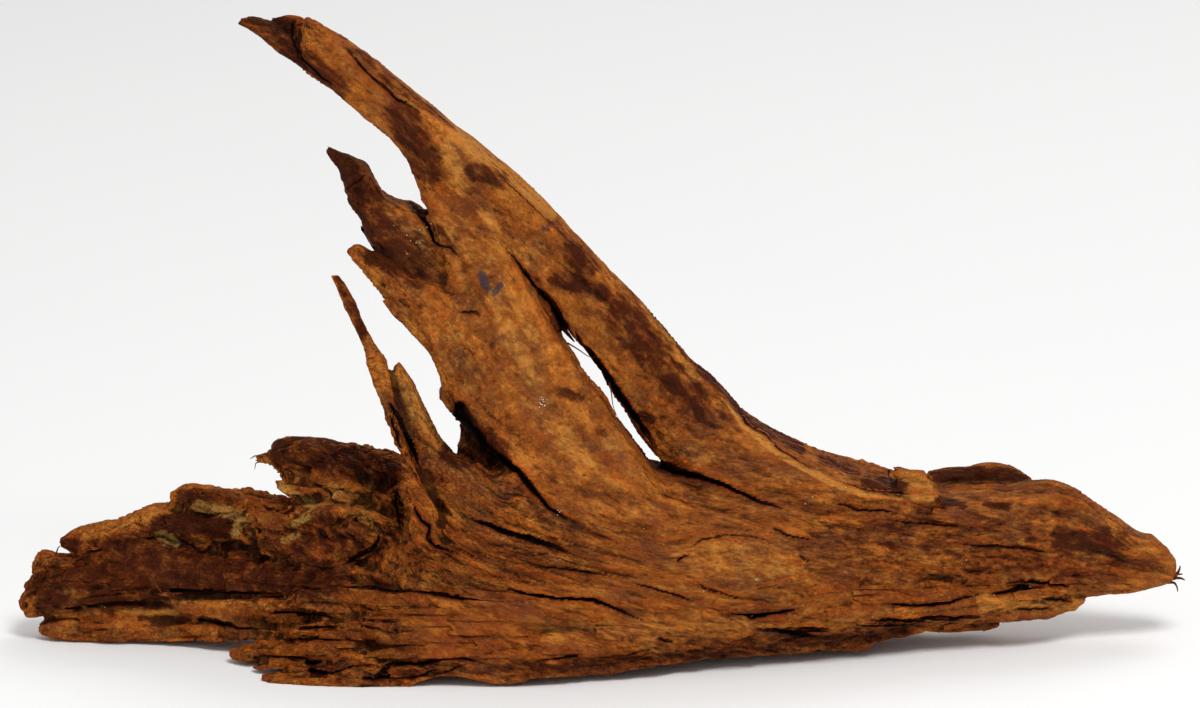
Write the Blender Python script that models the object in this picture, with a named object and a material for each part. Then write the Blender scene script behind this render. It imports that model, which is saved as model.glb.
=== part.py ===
"""A piece of driftwood: a weathered root that lies on its trunk and carries an upright split blade.

The wood grew as one piece, so the part is one solid. Every limb, strand and flake of it is a loft: a
flattened section carried along the grain. The lofts are fused, and the low places are worn flat where it
stands.
"""

import math
from typing import NamedTuple

import bpy
import numpy as np

# Driving dimensions. The outlines below are drawn in millimetres for a piece that is DRAWN_LENGTH long.
OVERALL_LENGTH = 0.510
DRAWN_LENGTH = 510.0
MM = OVERALL_LENGTH / DRAWN_LENGTH

# The outlines are drawn as an eye sees them that is EYE_DISTANCE off and looks down at the front by
# SIGHT_TILT. It looks at PICTURE_MIDDLE. The lowest drawn point, at height 0, is the front foot.
SIGHT_TILT = math.radians(14)
EYE_DISTANCE = 4000.0
PICTURE_MIDDLE = 143.2
FRONT_FOOT_DEPTH = -35.0
AIM_HEIGHT = (PICTURE_MIDDLE + FRONT_FOOT_DEPTH * math.sin(SIGHT_TILT)) / math.cos(SIGHT_TILT)

# Middle of the footprint in the drawing, which becomes the part's origin on the floor.
PLAN_CENTRE = (-0.77, 17.35)

# Fineness of the fused wood.
VOXEL = 0.0020
SOFTEN_STEPS = 4
DECIMATE_RATIO = 0.085
RING_STEP = 3.0
SIDES = 56

# Grooves between the fibre bundles: width of a bundle and depth of the groove beside it, in millimetres.
# They wander over BUNDLE_WANDER, by WANDER_TURN, and their depth comes and goes over BUNDLE_FADE.
BUNDLES = ((34.0, 2.2), (17.0, 1.5), (9.0, 0.8))
BUNDLE_WANDER = 46.0
WANDER_TURN = 0.9
BUNDLE_FADE = 32.0
FADE_SHARE = 0.3

# A limb thinner than this, as half its thickness, has shallower grooves in proportion. No section is thinner
# than THINNEST_HALF.
FULL_RELIEF_HALF = 9.0
THINNEST_HALF = 0.3

# Broken ends: how many teeth of each kind a limb's half width has, and how far along the limb they reach.
TEETH = (2.3, 5.1, 9.7)
TEETH_HEIGHT = 1.2
TEETH_FADE = 3.0

# Mean of |sin|, taken off the grooves and the teeth so that they leave a limb's size as it is.
ARCH_MEAN = 0.64

# The slab that wears the feet flat: its length, depth and height.
FLOOR_SLAB = (0.8, 0.4, 0.1)

WOOD_COLOUR = (0.36, 0.16, 0.055, 1.0)
WOOD_ROUGHNESS = 0.78


class Limb(NamedTuple):
    """One loft. Each row is a section: one edge, the other, depth of its middle and half its thickness."""

    rows: tuple
    seed: int
    squareness: float = 0.8
    relief: float = 1.0
    ragged_start: float = 0.0
    ragged_end: float = 0.0


# The trunk runs from left to right, upper edge first.
TRUNK = Limb(
    rows=(
        ((-188, 68), (-188, 26), 44, 11),
        ((-150, 74), (-150, 22), 34, 18),
        ((-110, 72), (-110, 18), 20, 27),
        ((-70, 90), (-70, 13), 6, 35),
        ((-30, 104), (-30, 11.5), 4, 37),
        ((10, 99), (10, 13.5), 8, 36),
        ((50, 92), (50, 16), 15, 35),
        ((90, 90), (90, 18.5), 24, 33),
        ((130, 84), (130, 25), 33, 28),
        ((170, 87), (172, 31), 39, 22),
        ((200, 86), (205, 40), 43, 16),
        ((225, 71), (222, 41), 45, 12),
        ((240, 61), (237, 43), 47, 8),
        ((251, 52), (248, 45), 48, 5),
    ),
    seed=1,
    squareness=0.7,
    ragged_end=1.5,
)

# The horn and the wing below it: one tapering limb down the right of the upright, outer edge first.
WING = Limb(
    rows=(
        ((-126, 289), (-131, 281), -4, 4),
        ((-118, 284), (-128, 271), -3, 7),
        ((-101, 273), (-113, 257), -2, 9),
        ((-80, 256), (-95, 241), 0, 10),
        ((-62, 240), (-83, 227), 2, 11),
        ((-45, 227), (-76, 211), 4, 12),
        ((-28, 212), (-72, 201), 6, 12),
        ((-13, 197), (-56, 190), 8, 12),
        ((5, 178), (-34, 180), 10, 12),
        ((20, 163), (-17.5, 160), 12, 12),
        ((39, 141), (-1.5, 139), 15, 13),
        ((50, 131), (9, 123), 17, 14),
        ((64, 117), (17.5, 110), 19, 16),
        ((82, 106), (27, 96.5), 20, 21),
        ((103, 97), (48, 82), 22, 26),
        ((126, 90), (82, 62), 28, 27),
        ((152, 82), (116, 54), 35, 20),
        ((176, 74), (146, 52), 40, 10),
    ),
    seed=2,
    ragged_start=2.0,
)

# The horn's rear prong, and the dark flake between the two prongs.
REAR_PRONG = Limb(
    rows=(
        ((-151, 289), (-156, 286), 8, 3),
        ((-143, 287), (-150, 282), 8, 4),
        ((-133, 281), (-140, 275), 7, 5),
        ((-122, 273), (-130, 268), 6, 6),
        ((-108, 262), (-119, 260), 4, 7),
        ((-92, 250), (-105, 248), 3, 8),
        ((-80, 238), (-92, 237), 3, 8),
    ),
    seed=3,
    relief=0.5,
    ragged_start=1.5,
)
PRONG_FLAKE = Limb(
    rows=(
        ((-141, 288.5), (-142, 287), 13, 1.5),
        ((-131, 289), (-134, 283), 11, 2.5),
        ((-120, 284), (-126, 274), 8, 4),
        ((-108, 274), (-116, 262), 5, 5),
    ),
    seed=4,
    relief=0.3,
)

# The middle blade, between the wing and the broken prongs.
BLADE = Limb(
    rows=(
        ((-52, 220), (-74, 206), 4, 7),
        ((-39, 193), (-68, 190), 4, 11),
        ((-24, 165), (-62, 162), 3, 13),
        ((-10, 143), (-54, 140), 2, 14),
        ((2, 126), (-50, 120), 2, 15),
        ((13, 109), (-44, 100), 2, 19),
        ((25, 96), (-34, 86), 2, 24),
        ((34, 80), (-18, 70), 6, 24),
        ((46, 64), (4, 52), 13, 18),
    ),
    seed=5,
)

# The upper broken prong, which passes behind the blade.
UPPER_PRONG = Limb(
    rows=(
        ((-115, 233), (-119, 231), 10, 2.5),
        ((-107, 227.5), (-113, 222), 10, 4),
        ((-98, 222.5), (-109, 213), 10, 6),
        ((-91, 212), (-104, 204), 10, 8),
        ((-80, 208), (-98, 192), 9, 9),
        ((-70, 197), (-91, 180), 8, 10),
        ((-52, 180), (-80, 165), 8, 11),
        ((-36, 160), (-66, 146), 8, 12),
        ((-18, 136), (-50, 128), 8, 12),
    ),
    seed=6,
    ragged_start=3.0,
)

# The lower broken prong, the front left edge of the blade.
LOWER_PRONG = Limb(
    rows=(
        ((-104, 191), (-109, 187), -3, 3),
        ((-97, 186.5), (-104, 181), -3, 5),
        ((-85, 180), (-95, 170.5), -2, 7),
        ((-68, 173), (-81, 154), -1, 9),
        ((-48, 158), (-69.5, 138), 0, 11),
        ((-28, 138), (-66, 123), 0, 13),
        ((-8, 116), (-53, 107), -1, 16),
        ((8, 96), (-38, 95), -1, 21),
        ((20, 76), (-21, 77), 3, 23),
        ((34, 58), (0, 54), 10, 16),
    ),
    seed=7,
    ragged_start=2.0,
)

# The thin spike at the left, and the scroll of wood that curls beside it.
SPIKE = Limb(
    rows=(
        ((-112, 177.5), (-116, 177), -4, 1.4),
        ((-107, 170), (-111.5, 167), -5, 2.4),
        ((-103, 160), (-107.5, 158), -7, 3.2),
        ((-96.5, 148.5), (-103, 148), -9, 4),
        ((-91, 140), (-101, 140), -10, 5),
        ((-88, 126), (-95.5, 124), -12, 6),
        ((-83, 111), (-91, 111), -15, 7),
        ((-77, 96), (-87, 97), -19, 8),
        ((-71, 82), (-85, 82), -22, 9),
        ((-66, 66), (-81, 64), -24, 9),
        ((-54, 52), (-68, 48), -17, 8),
        ((-42, 42), (-54, 38), -8, 6),
    ),
    seed=8,
    relief=0.4,
    ragged_start=1.0,
)
SCROLL = Limb(
    rows=(
        ((-86, 140), (-92, 134), -6, 3),
        ((-79, 129), (-88, 121), -8, 5),
        ((-72, 115), (-83.5, 108), -10, 7),
        ((-66, 104), (-79, 96), -14, 8),
        ((-54, 97), (-73, 85), -17, 10),
        ((-40, 84), (-63, 72), -17, 13),
        ((-24, 68), (-48, 56), -14, 13),
        ((-4, 56), (-28, 44), -5, 10),
    ),
    seed=9,
    relief=0.5,
    ragged_start=1.5,
)

# The dark web in the fork between scroll and blade.
WEB = Limb(
    rows=(
        ((-60, 120), (-64, 117), 10, 3),
        ((-50, 108), (-62, 105), 10, 6),
        ((-42, 95), (-64, 95), 8, 10),
        ((-30, 80), (-60, 80), 6, 14),
    ),
    seed=10,
    relief=0.6,
    ragged_start=3.0,
)

# The bark lump and the layers at the left end, from the top down.
LUMP = Limb(
    rows=(
        ((-151, 100), (-151, 96), 30, 3.5),
        ((-142, 104), (-143, 95), 30, 6),
        ((-134, 107), (-136, 88), 29, 10),
        ((-118, 105.5), (-122, 78), 27, 13),
        ((-104, 103), (-104, 72), 24, 15),
        ((-90, 100), (-90, 70), 20, 16),
        ((-74, 95), (-74, 70), 14, 16),
    ),
    seed=11,
    ragged_start=3.0,
)
LUMP_FLAKE = Limb(
    rows=(
        ((-139, 89), (-140, 85), 20, 2),
        ((-130, 89), (-133, 79), 18, 3.5),
        ((-115, 88), (-118, 76), 14, 5),
        ((-100, 88), (-102, 72), 8, 6),
        ((-86, 86), (-88, 70), 0, 7),
    ),
    seed=12,
    relief=0.5,
    ragged_start=2.5,
)
SHELF = Limb(
    rows=(
        ((-183, 84), (-184, 79.5), 42, 3),
        ((-176, 86.5), (-177, 73), 41, 6),
        ((-162, 84), (-162, 67), 38, 9),
        ((-142, 81), (-142, 62), 34, 12),
        ((-118, 80), (-118, 58), 26, 15),
        ((-98, 78), (-98, 56), 18, 16),
    ),
    seed=13,
    ragged_start=3.0,
)
UPPER_LAYER = Limb(
    rows=(
        ((-233, 64), (-233, 59.5), 46, 3.5),
        ((-225, 68), (-224, 57), 46, 6),
        ((-210, 71.5), (-210, 54), 45, 8),
        ((-196, 78), (-196, 52), 44, 9),
        ((-182, 78), (-182, 50), 42, 10),
        ((-150, 76), (-150, 48), 33, 12),
        ((-120, 68), (-120, 48), 20, 14),
    ),
    seed=14,
    ragged_start=2.5,
)
LEFT_END = Limb(
    rows=(
        ((-251.5, 40), (-251, 33), 46, 5),
        ((-247.5, 46), (-246.5, 30), 45, 8),
        ((-241, 56.5), (-241, 31), 44, 10),
        ((-228, 55.5), (-228, 34), 43, 11),
        ((-210, 56), (-210, 38.5), 42, 12),
        ((-180, 58), (-180, 40), 36, 13),
        ((-150, 58), (-150, 40.5), 28, 13),
        ((-120, 56), (-120, 42), 14, 14),
        ((-92, 54), (-92, 44), 0, 13),
        ((-66, 52), (-66, 42), -4, 8),
    ),
    seed=15,
    ragged_start=1.0,
)
TONGUE = Limb(
    rows=(
        ((-142, 66), (-142, 60), 16, 3),
        ((-128, 71), (-129, 54.5), 7, 5),
        ((-112, 73), (-113, 52.5), -2, 6),
        ((-100, 71), (-99, 56.5), -8, 6),
        ((-94, 68), (-93, 60), -10, 5),
        ((-80, 62), (-78, 52), -8, 5),
    ),
    seed=16,
    relief=0.5,
)

# The strands below the left end. The lower a strand lies, the nearer it is to the front.
LOW_STRAND = Limb(
    rows=(
        ((-243, 27), (-242, 22.5), 43, 4),
        ((-233, 31), (-233, 21), 43, 7),
        ((-205, 35), (-205, 20.8), 43, 9),
        ((-175, 35), (-175, 20.6), 40, 10),
        ((-150, 33), (-150, 19.5), 34, 12),
        ((-120, 31), (-120, 18.5), 22, 14),
    ),
    seed=17,
    ragged_start=1.5,
)
INNER_LAYER = Limb(
    rows=(
        ((-238, 37), (-238, 28), 50, 3),
        ((-220, 42), (-220, 29), 50, 5),
        ((-190, 45), (-190, 30), 47, 8),
        ((-150, 46), (-150, 30), 38, 9),
    ),
    seed=34,
    relief=0.5,
)
BRIGHT_STRAND = Limb(
    rows=(
        ((-198, 39), (-197, 37.3), 38, 2.5),
        ((-185, 39.3), (-184, 35), 35, 4),
        ((-168, 39), (-172, 30), 29, 6),
        ((-145, 39), (-145, 27), 20, 8),
        ((-120, 38), (-120, 25), 8, 10),
        ((-90, 38), (-90, 26), -8, 12),
    ),
    seed=18,
    relief=0.6,
    ragged_start=1.5,
)
LINK_STRAND = Limb(
    rows=(
        ((-165, 27), (-163, 20.3), 26, 3.5),
        ((-148, 26.5), (-148, 18.8), 19, 5),
        ((-125, 27), (-125, 18), 8, 8),
        ((-95, 27), (-95, 16), -8, 10),
    ),
    seed=19,
    relief=0.6,
    ragged_start=1.0,
)
COMB_STRAND = Limb(
    rows=(
        ((-135, 41.5), (-142, 33.3), 4, 3),
        ((-121, 45), (-124, 31.5), -2, 5),
        ((-100, 42), (-100, 29.5), -12, 7),
        ((-70, 42), (-70, 27), -23, 8),
        ((-40, 40), (-40, 26), -26, 7),
        ((-10, 38), (-10, 27), -16, 6),
    ),
    seed=20,
    relief=0.7,
    ragged_start=3.0,
)
STEP_STRAND = Limb(
    rows=(
        ((-131, 28.5), (-131, 22), -4, 4),
        ((-115, 29), (-115, 21.5), -9, 6),
        ((-90, 29), (-90, 19.5), -19, 8),
        ((-60, 27), (-60, 18), -27, 8),
        ((-30, 26), (-30, 16), -25, 7),
        ((0, 27), (0, 18), -14, 6),
    ),
    seed=21,
    relief=0.6,
    ragged_start=1.5,
)
SPLINTER_1 = Limb(
    rows=(
        ((-139, 21), (-136, 17), -4, 3),
        ((-124, 21), (-125, 13.5), -10, 6),
        ((-100, 20), (-100, 11.5), -18, 8),
        ((-70, 19), (-70, 10), -26, 8),
        ((-40, 18), (-40, 9), -25, 7),
        ((-10, 20), (-10, 12), -12, 6),
    ),
    seed=22,
    relief=0.6,
    ragged_start=2.0,
)
SPLINTER_2 = Limb(
    rows=(
        ((-158, 16.7), (-159, 12.5), 4, 3),
        ((-147, 17.3), (-148, 10.8), -1, 5),
        ((-125, 15.5), (-125, 9), -12, 6),
        ((-100, 14.5), (-100, 7.5), -20, 8),
        ((-70, 14), (-70, 8), -25, 7),
    ),
    seed=23,
    relief=0.6,
    ragged_start=2.0,
)
SPLINTER_3 = Limb(
    rows=(
        ((-150, 10.5), (-149, 8), -12, 2.5),
        ((-142, 11.3), (-142, 6.8), -14, 4),
        ((-125, 11), (-125, 5), -19, 6),
        ((-98, 11), (-98, 3), -24, 8),
    ),
    seed=24,
    relief=0.5,
    ragged_start=2.0,
)
SPLINTER_4 = Limb(
    rows=(
        ((-146, 5.5), (-145, 3.5), -25, 2.5),
        ((-138, 6.3), (-139, 2), -26, 4),
        ((-120, 6.5), (-120, 0.8), -27, 6),
        ((-100, 8), (-100, -0.2), -27, 8),
        ((-86, 10), (-86, 0), -27, 8),
        ((-68, 13), (-68, 5.6), -28, 7),
        ((-52, 14), (-50, 3.2), -28, 8),
        ((-40, 15), (-40, 1.2), -27, 9),
        ((-22, 17), (-22, 6.5), -24, 10),
        ((4, 18), (4, 8), -16, 12),
        ((40, 22), (40, 12.6), -6, 12),
    ),
    seed=25,
    relief=0.5,
    ragged_start=2.0,
)

# The layers under the right end, and the piece that stands behind its upper edge.
RIGHT_STRAND_1 = Limb(
    rows=(
        ((96, 36), (96, 22), 6, 8),
        ((130, 36.5), (130, 27), 16, 8),
        ((165, 39), (165, 29), 26, 8),
        ((190, 39.5), (192, 30.3), 32, 6),
        ((208, 38.5), (205, 33), 37, 3),
    ),
    seed=26,
    relief=0.5,
    ragged_end=2.0,
)
RIGHT_STRAND_2 = Limb(
    rows=(
        ((80, 28), (80, 18), 14, 10),
        ((120, 28.5), (120, 23.6), 24, 9),
        ((150, 29), (150, 24.4), 32, 8),
        ((168, 29), (168, 25.6), 37, 5),
        ((173, 28.6), (172, 26.2), 39, 2.5),
    ),
    seed=27,
    relief=0.4,
    ragged_end=1.5,
)
RIGHT_FOOT = Limb(
    rows=(
        ((50, 26), (50, 16.5), 16, 14),
        ((80, 26), (80, 17.5), 26, 13),
        ((102, 26), (102, 17.5), 40, 12),
        ((118, 25), (118, 17), 47, 10),
        ((127, 23), (126, 19.8), 48, 4),
    ),
    seed=28,
    relief=0.5,
    ragged_end=1.5,
)
REAR_CREST = Limb(
    rows=(
        ((112, 92), (112, 78), 46, 8),
        ((140, 93), (140, 76), 52, 8),
        ((158, 95.5), (158, 74), 55, 8),
        ((172, 96), (173, 72), 56, 7),
        ((183, 92), (187, 70), 56, 6),
        ((191, 86), (200, 70), 55, 4),
    ),
    seed=29,
    relief=0.6,
)
CREST_CHIP = Limb(
    rows=(
        ((140, 93), (126, 93.6), 19, 3),
        ((142.5, 89), (126, 90), 17, 4.5),
        ((146, 84), (128, 84), 17, 7),
        ((158, 74), (134, 70), 20, 11),
        ((172, 64), (150, 60), 30, 6),
    ),
    seed=30,
    relief=0.4,
    ragged_start=1.0,
)

# The back of the piece: a ridge along the trunk and a rib up the blade.
BACK_RIDGE = Limb(
    rows=(
        ((-165, 66), (-165, 56), 52, 4),
        ((-120, 76), (-120, 52), 44, 9),
        ((-60, 84), (-60, 56), 38, 12),
        ((0, 88), (0, 60), 42, 13),
        ((60, 86), (60, 60), 52, 13),
        ((120, 82), (120, 62), 60, 10),
        ((168, 78), (168, 68), 62, 5),
    ),
    seed=31,
)
BACK_RIB = Limb(
    rows=(
        ((-84, 204), (-90, 198), 16, 4),
        ((-62, 184), (-74, 172), 18, 7),
        ((-38, 152), (-56, 140), 20, 9),
        ((-14, 118), (-36, 106), 22, 12),
        ((10, 88), (-20, 78), 24, 16),
    ),
    seed=32,
)
LEFT_FOOT = Limb(
    rows=(
        ((-216, 31), (-216, 23.5), 49, 4),
        ((-200, 33), (-200, 21), 49, 8),
        ((-180, 34), (-180, 21), 48, 9),
        ((-155, 36), (-155, 24), 45, 8),
    ),
    seed=33,
    relief=0.4,
)

LIMBS = (
    TRUNK,
    WING,
    REAR_PRONG,
    PRONG_FLAKE,
    BLADE,
    UPPER_PRONG,
    LOWER_PRONG,
    SPIKE,
    SCROLL,
    WEB,
    LUMP,
    LUMP_FLAKE,
    SHELF,
    UPPER_LAYER,
    LEFT_END,
    TONGUE,
    LOW_STRAND,
    INNER_LAYER,
    BRIGHT_STRAND,
    LINK_STRAND,
    COMB_STRAND,
    STEP_STRAND,
    SPLINTER_1,
    SPLINTER_2,
    SPLINTER_3,
    SPLINTER_4,
    RIGHT_STRAND_1,
    RIGHT_STRAND_2,
    RIGHT_FOOT,
    REAR_CREST,
    CREST_CHIP,
    BACK_RIDGE,
    BACK_RIB,
    LEFT_FOOT,
)


def clear_scene():
    """Removes the objects that the scene starts with."""
    for obj in list(bpy.data.objects):
        bpy.data.objects.remove(obj)


def real_point(drawn, depth):
    """The x and z of a drawn point: where the sight line through it is at a depth."""
    across, up = drawn
    eye_y = -EYE_DISTANCE * math.cos(SIGHT_TILT)
    eye_z = AIM_HEIGHT + EYE_DISTANCE * math.sin(SIGHT_TILT)
    picture_y = (up - PICTURE_MIDDLE) * math.sin(SIGHT_TILT)
    picture_z = AIM_HEIGHT + (up - PICTURE_MIDDLE) * math.cos(SIGHT_TILT)
    reach = (depth - eye_y) / (picture_y - eye_y)
    return across * reach, eye_z + reach * (picture_z - eye_z)


def section_rows(limb):
    """The limb's rows as real edges: x and z of one edge, x and z of the other, depth and half thickness."""
    rows = []
    for edge, other, depth, half in limb.rows:
        rows.append((*real_point(edge, depth), *real_point(other, depth), depth, half))
    return np.array(rows, float)


def smooth_rows(rows):
    """Hermite curve through the rows, with a row every RING_STEP along, and each row's distance along."""
    middle = np.column_stack([rows[:, 0] + rows[:, 2], rows[:, 1] + rows[:, 3], 2 * rows[:, 4]]) / 2
    chord = np.concatenate([[0.0], np.cumsum(np.linalg.norm(np.diff(middle, axis=0), axis=1))])
    slope = np.gradient(rows, chord, axis=0)
    along = np.linspace(0.0, chord[-1], max(6, round(chord[-1] / RING_STEP)) + 1)
    left = np.clip(np.searchsorted(chord, along, side="right") - 1, 0, len(chord) - 2)
    span = (chord[left + 1] - chord[left])[:, None]
    t = (along - chord[left])[:, None] / span
    start = (2 * t**3 - 3 * t**2 + 1) * rows[left] + (t**3 - 2 * t**2 + t) * span * slope[left]
    end = (3 * t**2 - 2 * t**3) * rows[left + 1] + (t**3 - t**2) * span * slope[left + 1]
    return start + end, along


def bundle_relief(along, around, girth, rng):
    """Round fibre bundles with sharp grooves between them, which wander and fade slowly along the grain."""
    height = np.zeros(np.broadcast(along, around).shape)
    for width, depth in BUNDLES:
        count = max(2, round(float(girth.max()) / width))
        turn, drift, fade = rng.uniform(0, 2 * math.pi, 3)
        wander = WANDER_TURN * np.sin(along / BUNDLE_WANDER + drift)
        bundle = np.abs(np.sin(0.5 * count * around + turn + wander)) - ARCH_MEAN
        strength = 1.0 - FADE_SHARE + FADE_SHARE * np.sin(along / BUNDLE_FADE + fade + around)
        height += depth * bundle * strength
    return height


def ragged_reach(across, rng):
    """How far each fibre of a broken end reaches past the next, from -1 to 1, across the limb's width."""
    reach = np.zeros_like(across)
    for teeth in TEETH:
        reach += np.abs(np.sin(teeth * across + rng.uniform(0, 2 * math.pi))) - ARCH_MEAN
    return reach / TEETH_HEIGHT


def loft(limb):
    """Points and faces of one limb: a flattened ring of SIDES points at every row, and a fan at both ends."""
    rng = np.random.default_rng(limb.seed)
    rows, along = smooth_rows(section_rows(limb))
    around = np.linspace(0, 2 * math.pi, SIDES, endpoint=False)
    cosine, sine = np.cos(around), np.sin(around)
    across = np.sign(cosine) * np.abs(cosine) ** limb.squareness
    through = np.sign(sine) * np.abs(sine) ** limb.squareness

    middle = np.column_stack([rows[:, 0] + rows[:, 2], 2 * rows[:, 4], rows[:, 1] + rows[:, 3]]) / 2
    side = np.column_stack([rows[:, 0] - rows[:, 2], np.zeros(len(rows)), rows[:, 1] - rows[:, 3]]) / 2
    width = np.maximum(np.linalg.norm(side, axis=1), THINNEST_HALF)
    half = np.maximum(rows[:, 5], THINNEST_HALF)
    side_axis = side / width[:, None]

    out_side = cosine[None, :] / width[:, None]
    out_depth = sine[None, :] / half[:, None]
    length = np.hypot(out_side, out_depth)
    girth = math.pi * (width + half)
    relief = bundle_relief(along[:, None], around[None, :], girth, rng)
    relief *= limb.relief * np.minimum(1.0, half / FULL_RELIEF_HALF)[:, None]
    offset_side = width[:, None] * across + relief * out_side / length
    offset_depth = half[:, None] * through + relief * out_depth / length
    points = middle[:, None, :] + offset_side[..., None] * side_axis[:, None, :]
    points[..., 1] += offset_depth

    tangent = np.gradient(middle, along, axis=0)
    tangent /= np.linalg.norm(tangent, axis=1)[:, None]
    ends = ((-limb.ragged_start, along), (limb.ragged_end, along[-1] - along))
    for reach, distance in ends:
        if reach:
            fade = np.exp(-distance / (TEETH_FADE * abs(reach)))
            shift = reach * ragged_reach(across, rng)[None, :] * fade[:, None]
            points += shift[..., None] * tangent[:, None, :]

    rings = len(rows)
    grid = np.arange(rings * SIDES).reshape(rings, SIDES)
    after = np.roll(grid, -1, axis=1)
    walls = np.stack([grid[:-1], after[:-1], after[1:], grid[1:]], axis=-1).reshape(-1, 4)
    caps = np.array([points[0].mean(axis=0), points[-1].mean(axis=0)])
    first, last = rings * SIDES, rings * SIDES + 1
    start_fan = np.column_stack([np.full(SIDES, first), after[0], grid[0]])
    end_fan = np.column_stack([np.full(SIDES, last), grid[-1], after[-1]])
    vertices = np.vstack([points.reshape(-1, 3), caps])
    return vertices, walls.tolist() + start_fan.tolist() + end_fan.tolist()


def place(vertices):
    """Millimetres in the drawing to metres in the part's frame."""
    return (vertices - np.array([PLAN_CENTRE[0], PLAN_CENTRE[1], 0.0])) * MM


def wood_material():
    """Wet-brown weathered wood."""
    material = bpy.data.materials.new("weathered_wood")
    material.use_nodes = True
    shader = material.node_tree.nodes["Principled BSDF"]
    shader.inputs["Base Color"].default_value = WOOD_COLOUR
    shader.inputs["Roughness"].default_value = WOOD_ROUGHNESS
    shader.inputs["Metallic"].default_value = 0.0
    return material


def floor_cutter():
    """A slab whose top is the floor. What reaches below it is worn away."""
    bpy.ops.mesh.primitive_cube_add(size=1, location=(0, 0, -FLOOR_SLAB[2] / 2))
    cutter = bpy.context.object
    cutter.name = "floor_cutter"
    cutter.dimensions = FLOOR_SLAB
    bpy.ops.object.transform_apply(location=True, scale=True)
    cutter.hide_render = True
    cutter.display_type = "WIRE"
    return cutter


def driftwood():
    """All lofts in one mesh, fused by a fine remesh, thinned to large facets and worn flat at the floor."""
    vertices, faces, count = [], [], 0
    for limb in LIMBS:
        points, walls = loft(limb)
        vertices.append(points)
        faces += [tuple(corner + count for corner in face) for face in walls]
        count += len(points)
    mesh = bpy.data.meshes.new("driftwood")
    mesh.from_pydata(place(np.vstack(vertices)).tolist(), [], faces)
    mesh.update()
    wood = bpy.data.objects.new("driftwood", mesh)
    bpy.context.scene.collection.objects.link(wood)

    fuse = wood.modifiers.new("fuse", "REMESH")
    fuse.mode = "VOXEL"
    fuse.voxel_size = VOXEL
    fuse.use_smooth_shade = False
    soften = wood.modifiers.new("soften", "SMOOTH")
    soften.factor = 0.5
    soften.iterations = SOFTEN_STEPS
    thin = wood.modifiers.new("thin", "DECIMATE")
    thin.ratio = DECIMATE_RATIO
    thin.use_collapse_triangulate = True
    wear = wood.modifiers.new("wear", "BOOLEAN")
    wear.operation = "DIFFERENCE"
    wear.object = floor_cutter()
    wood.data.materials.append(wood_material())
    return wood


clear_scene()
driftwood()
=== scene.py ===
"""Dressed model of the piece of driftwood: fused limbs with torn layers, cracks, stains and loose hairs.

Everything is drawn in millimetres as the eye of the Sight class sees it, and turned into the part's frame
in metres when a mesh is made. The wood is one skin over the lofted limbs, cut into slabs. Its grain follows
strokes drawn along the fibres.
"""

import itertools
import logging
import math
from dataclasses import dataclass, field
from enum import Enum

import bmesh
import bpy
import mathutils
import numpy as np
from bpy.types import Material, Mesh, Node, NodeSocket, NodeTree, Object
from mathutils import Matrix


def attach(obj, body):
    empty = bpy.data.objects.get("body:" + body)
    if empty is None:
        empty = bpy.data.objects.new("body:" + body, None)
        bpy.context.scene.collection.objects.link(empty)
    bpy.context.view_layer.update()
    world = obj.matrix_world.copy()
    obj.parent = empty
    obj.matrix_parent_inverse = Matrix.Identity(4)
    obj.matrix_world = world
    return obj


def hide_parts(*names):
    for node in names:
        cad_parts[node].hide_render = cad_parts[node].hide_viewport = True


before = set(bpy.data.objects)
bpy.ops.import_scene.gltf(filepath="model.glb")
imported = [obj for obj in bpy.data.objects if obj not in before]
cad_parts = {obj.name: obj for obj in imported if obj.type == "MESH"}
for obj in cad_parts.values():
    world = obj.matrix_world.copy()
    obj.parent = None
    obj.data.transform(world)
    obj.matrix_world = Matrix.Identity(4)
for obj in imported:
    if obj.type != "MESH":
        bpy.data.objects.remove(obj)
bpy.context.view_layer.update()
log = logging.getLogger("driftwood")

MM = 0.001
# Where the part's origin lies in the drawing, in millimetres across and deep.
PLAN_CENTRE = (-0.77, 17.35)
NODE = "driftwood"


@dataclass(frozen=True)
class Sight:
    """The eye that the outlines are drawn for, looking down at the front by tilt. Lengths are millimetres."""

    tilt: float = math.radians(14)
    distance: float = 4000.0
    picture_middle: float = 143.2
    picture_width: float = 516.0
    front_depth: float = -35.0

    @property
    def aim_height(self) -> float:
        """Height over the origin of the point that the eye looks at."""
        return (self.picture_middle + self.front_depth * math.sin(self.tilt)) / math.cos(self.tilt)

    def real(self, drawn: np.ndarray, depth: np.ndarray) -> np.ndarray:
        """Points in space: where the sight line through each drawn point is at a depth.

        Args:
            drawn: rows of across and up, as drawn.
            depth: depth of each point behind the picture's origin.

        Returns:
            Rows of x, y, z.
        """
        rise = drawn[:, 1] - self.picture_middle
        eye_y = -self.distance * math.cos(self.tilt)
        eye_z = self.aim_height + self.distance * math.sin(self.tilt)
        picture_y = rise * math.sin(self.tilt)
        picture_z = self.aim_height + rise * math.cos(self.tilt)
        reach = (depth - eye_y) / (picture_y - eye_y)
        return np.column_stack([drawn[:, 0] * reach, depth, eye_z + reach * (picture_z - eye_z)])

    def drawn(self, points: np.ndarray) -> np.ndarray:
        """Where points in space are drawn: their projection on the picture.

        Args:
            points: rows of x, y, z.

        Returns:
            Rows of across and up.
        """
        height = points[:, 2] - self.aim_height
        away = self.distance + points[:, 1] * math.cos(self.tilt) - height * math.sin(self.tilt)
        up = points[:, 1] * math.sin(self.tilt) + height * math.cos(self.tilt)
        shrink = (self.distance / away)[:, None]
        return np.column_stack([points[:, 0], up]) * shrink + [0.0, self.picture_middle]


SIGHT = Sight()

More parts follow.
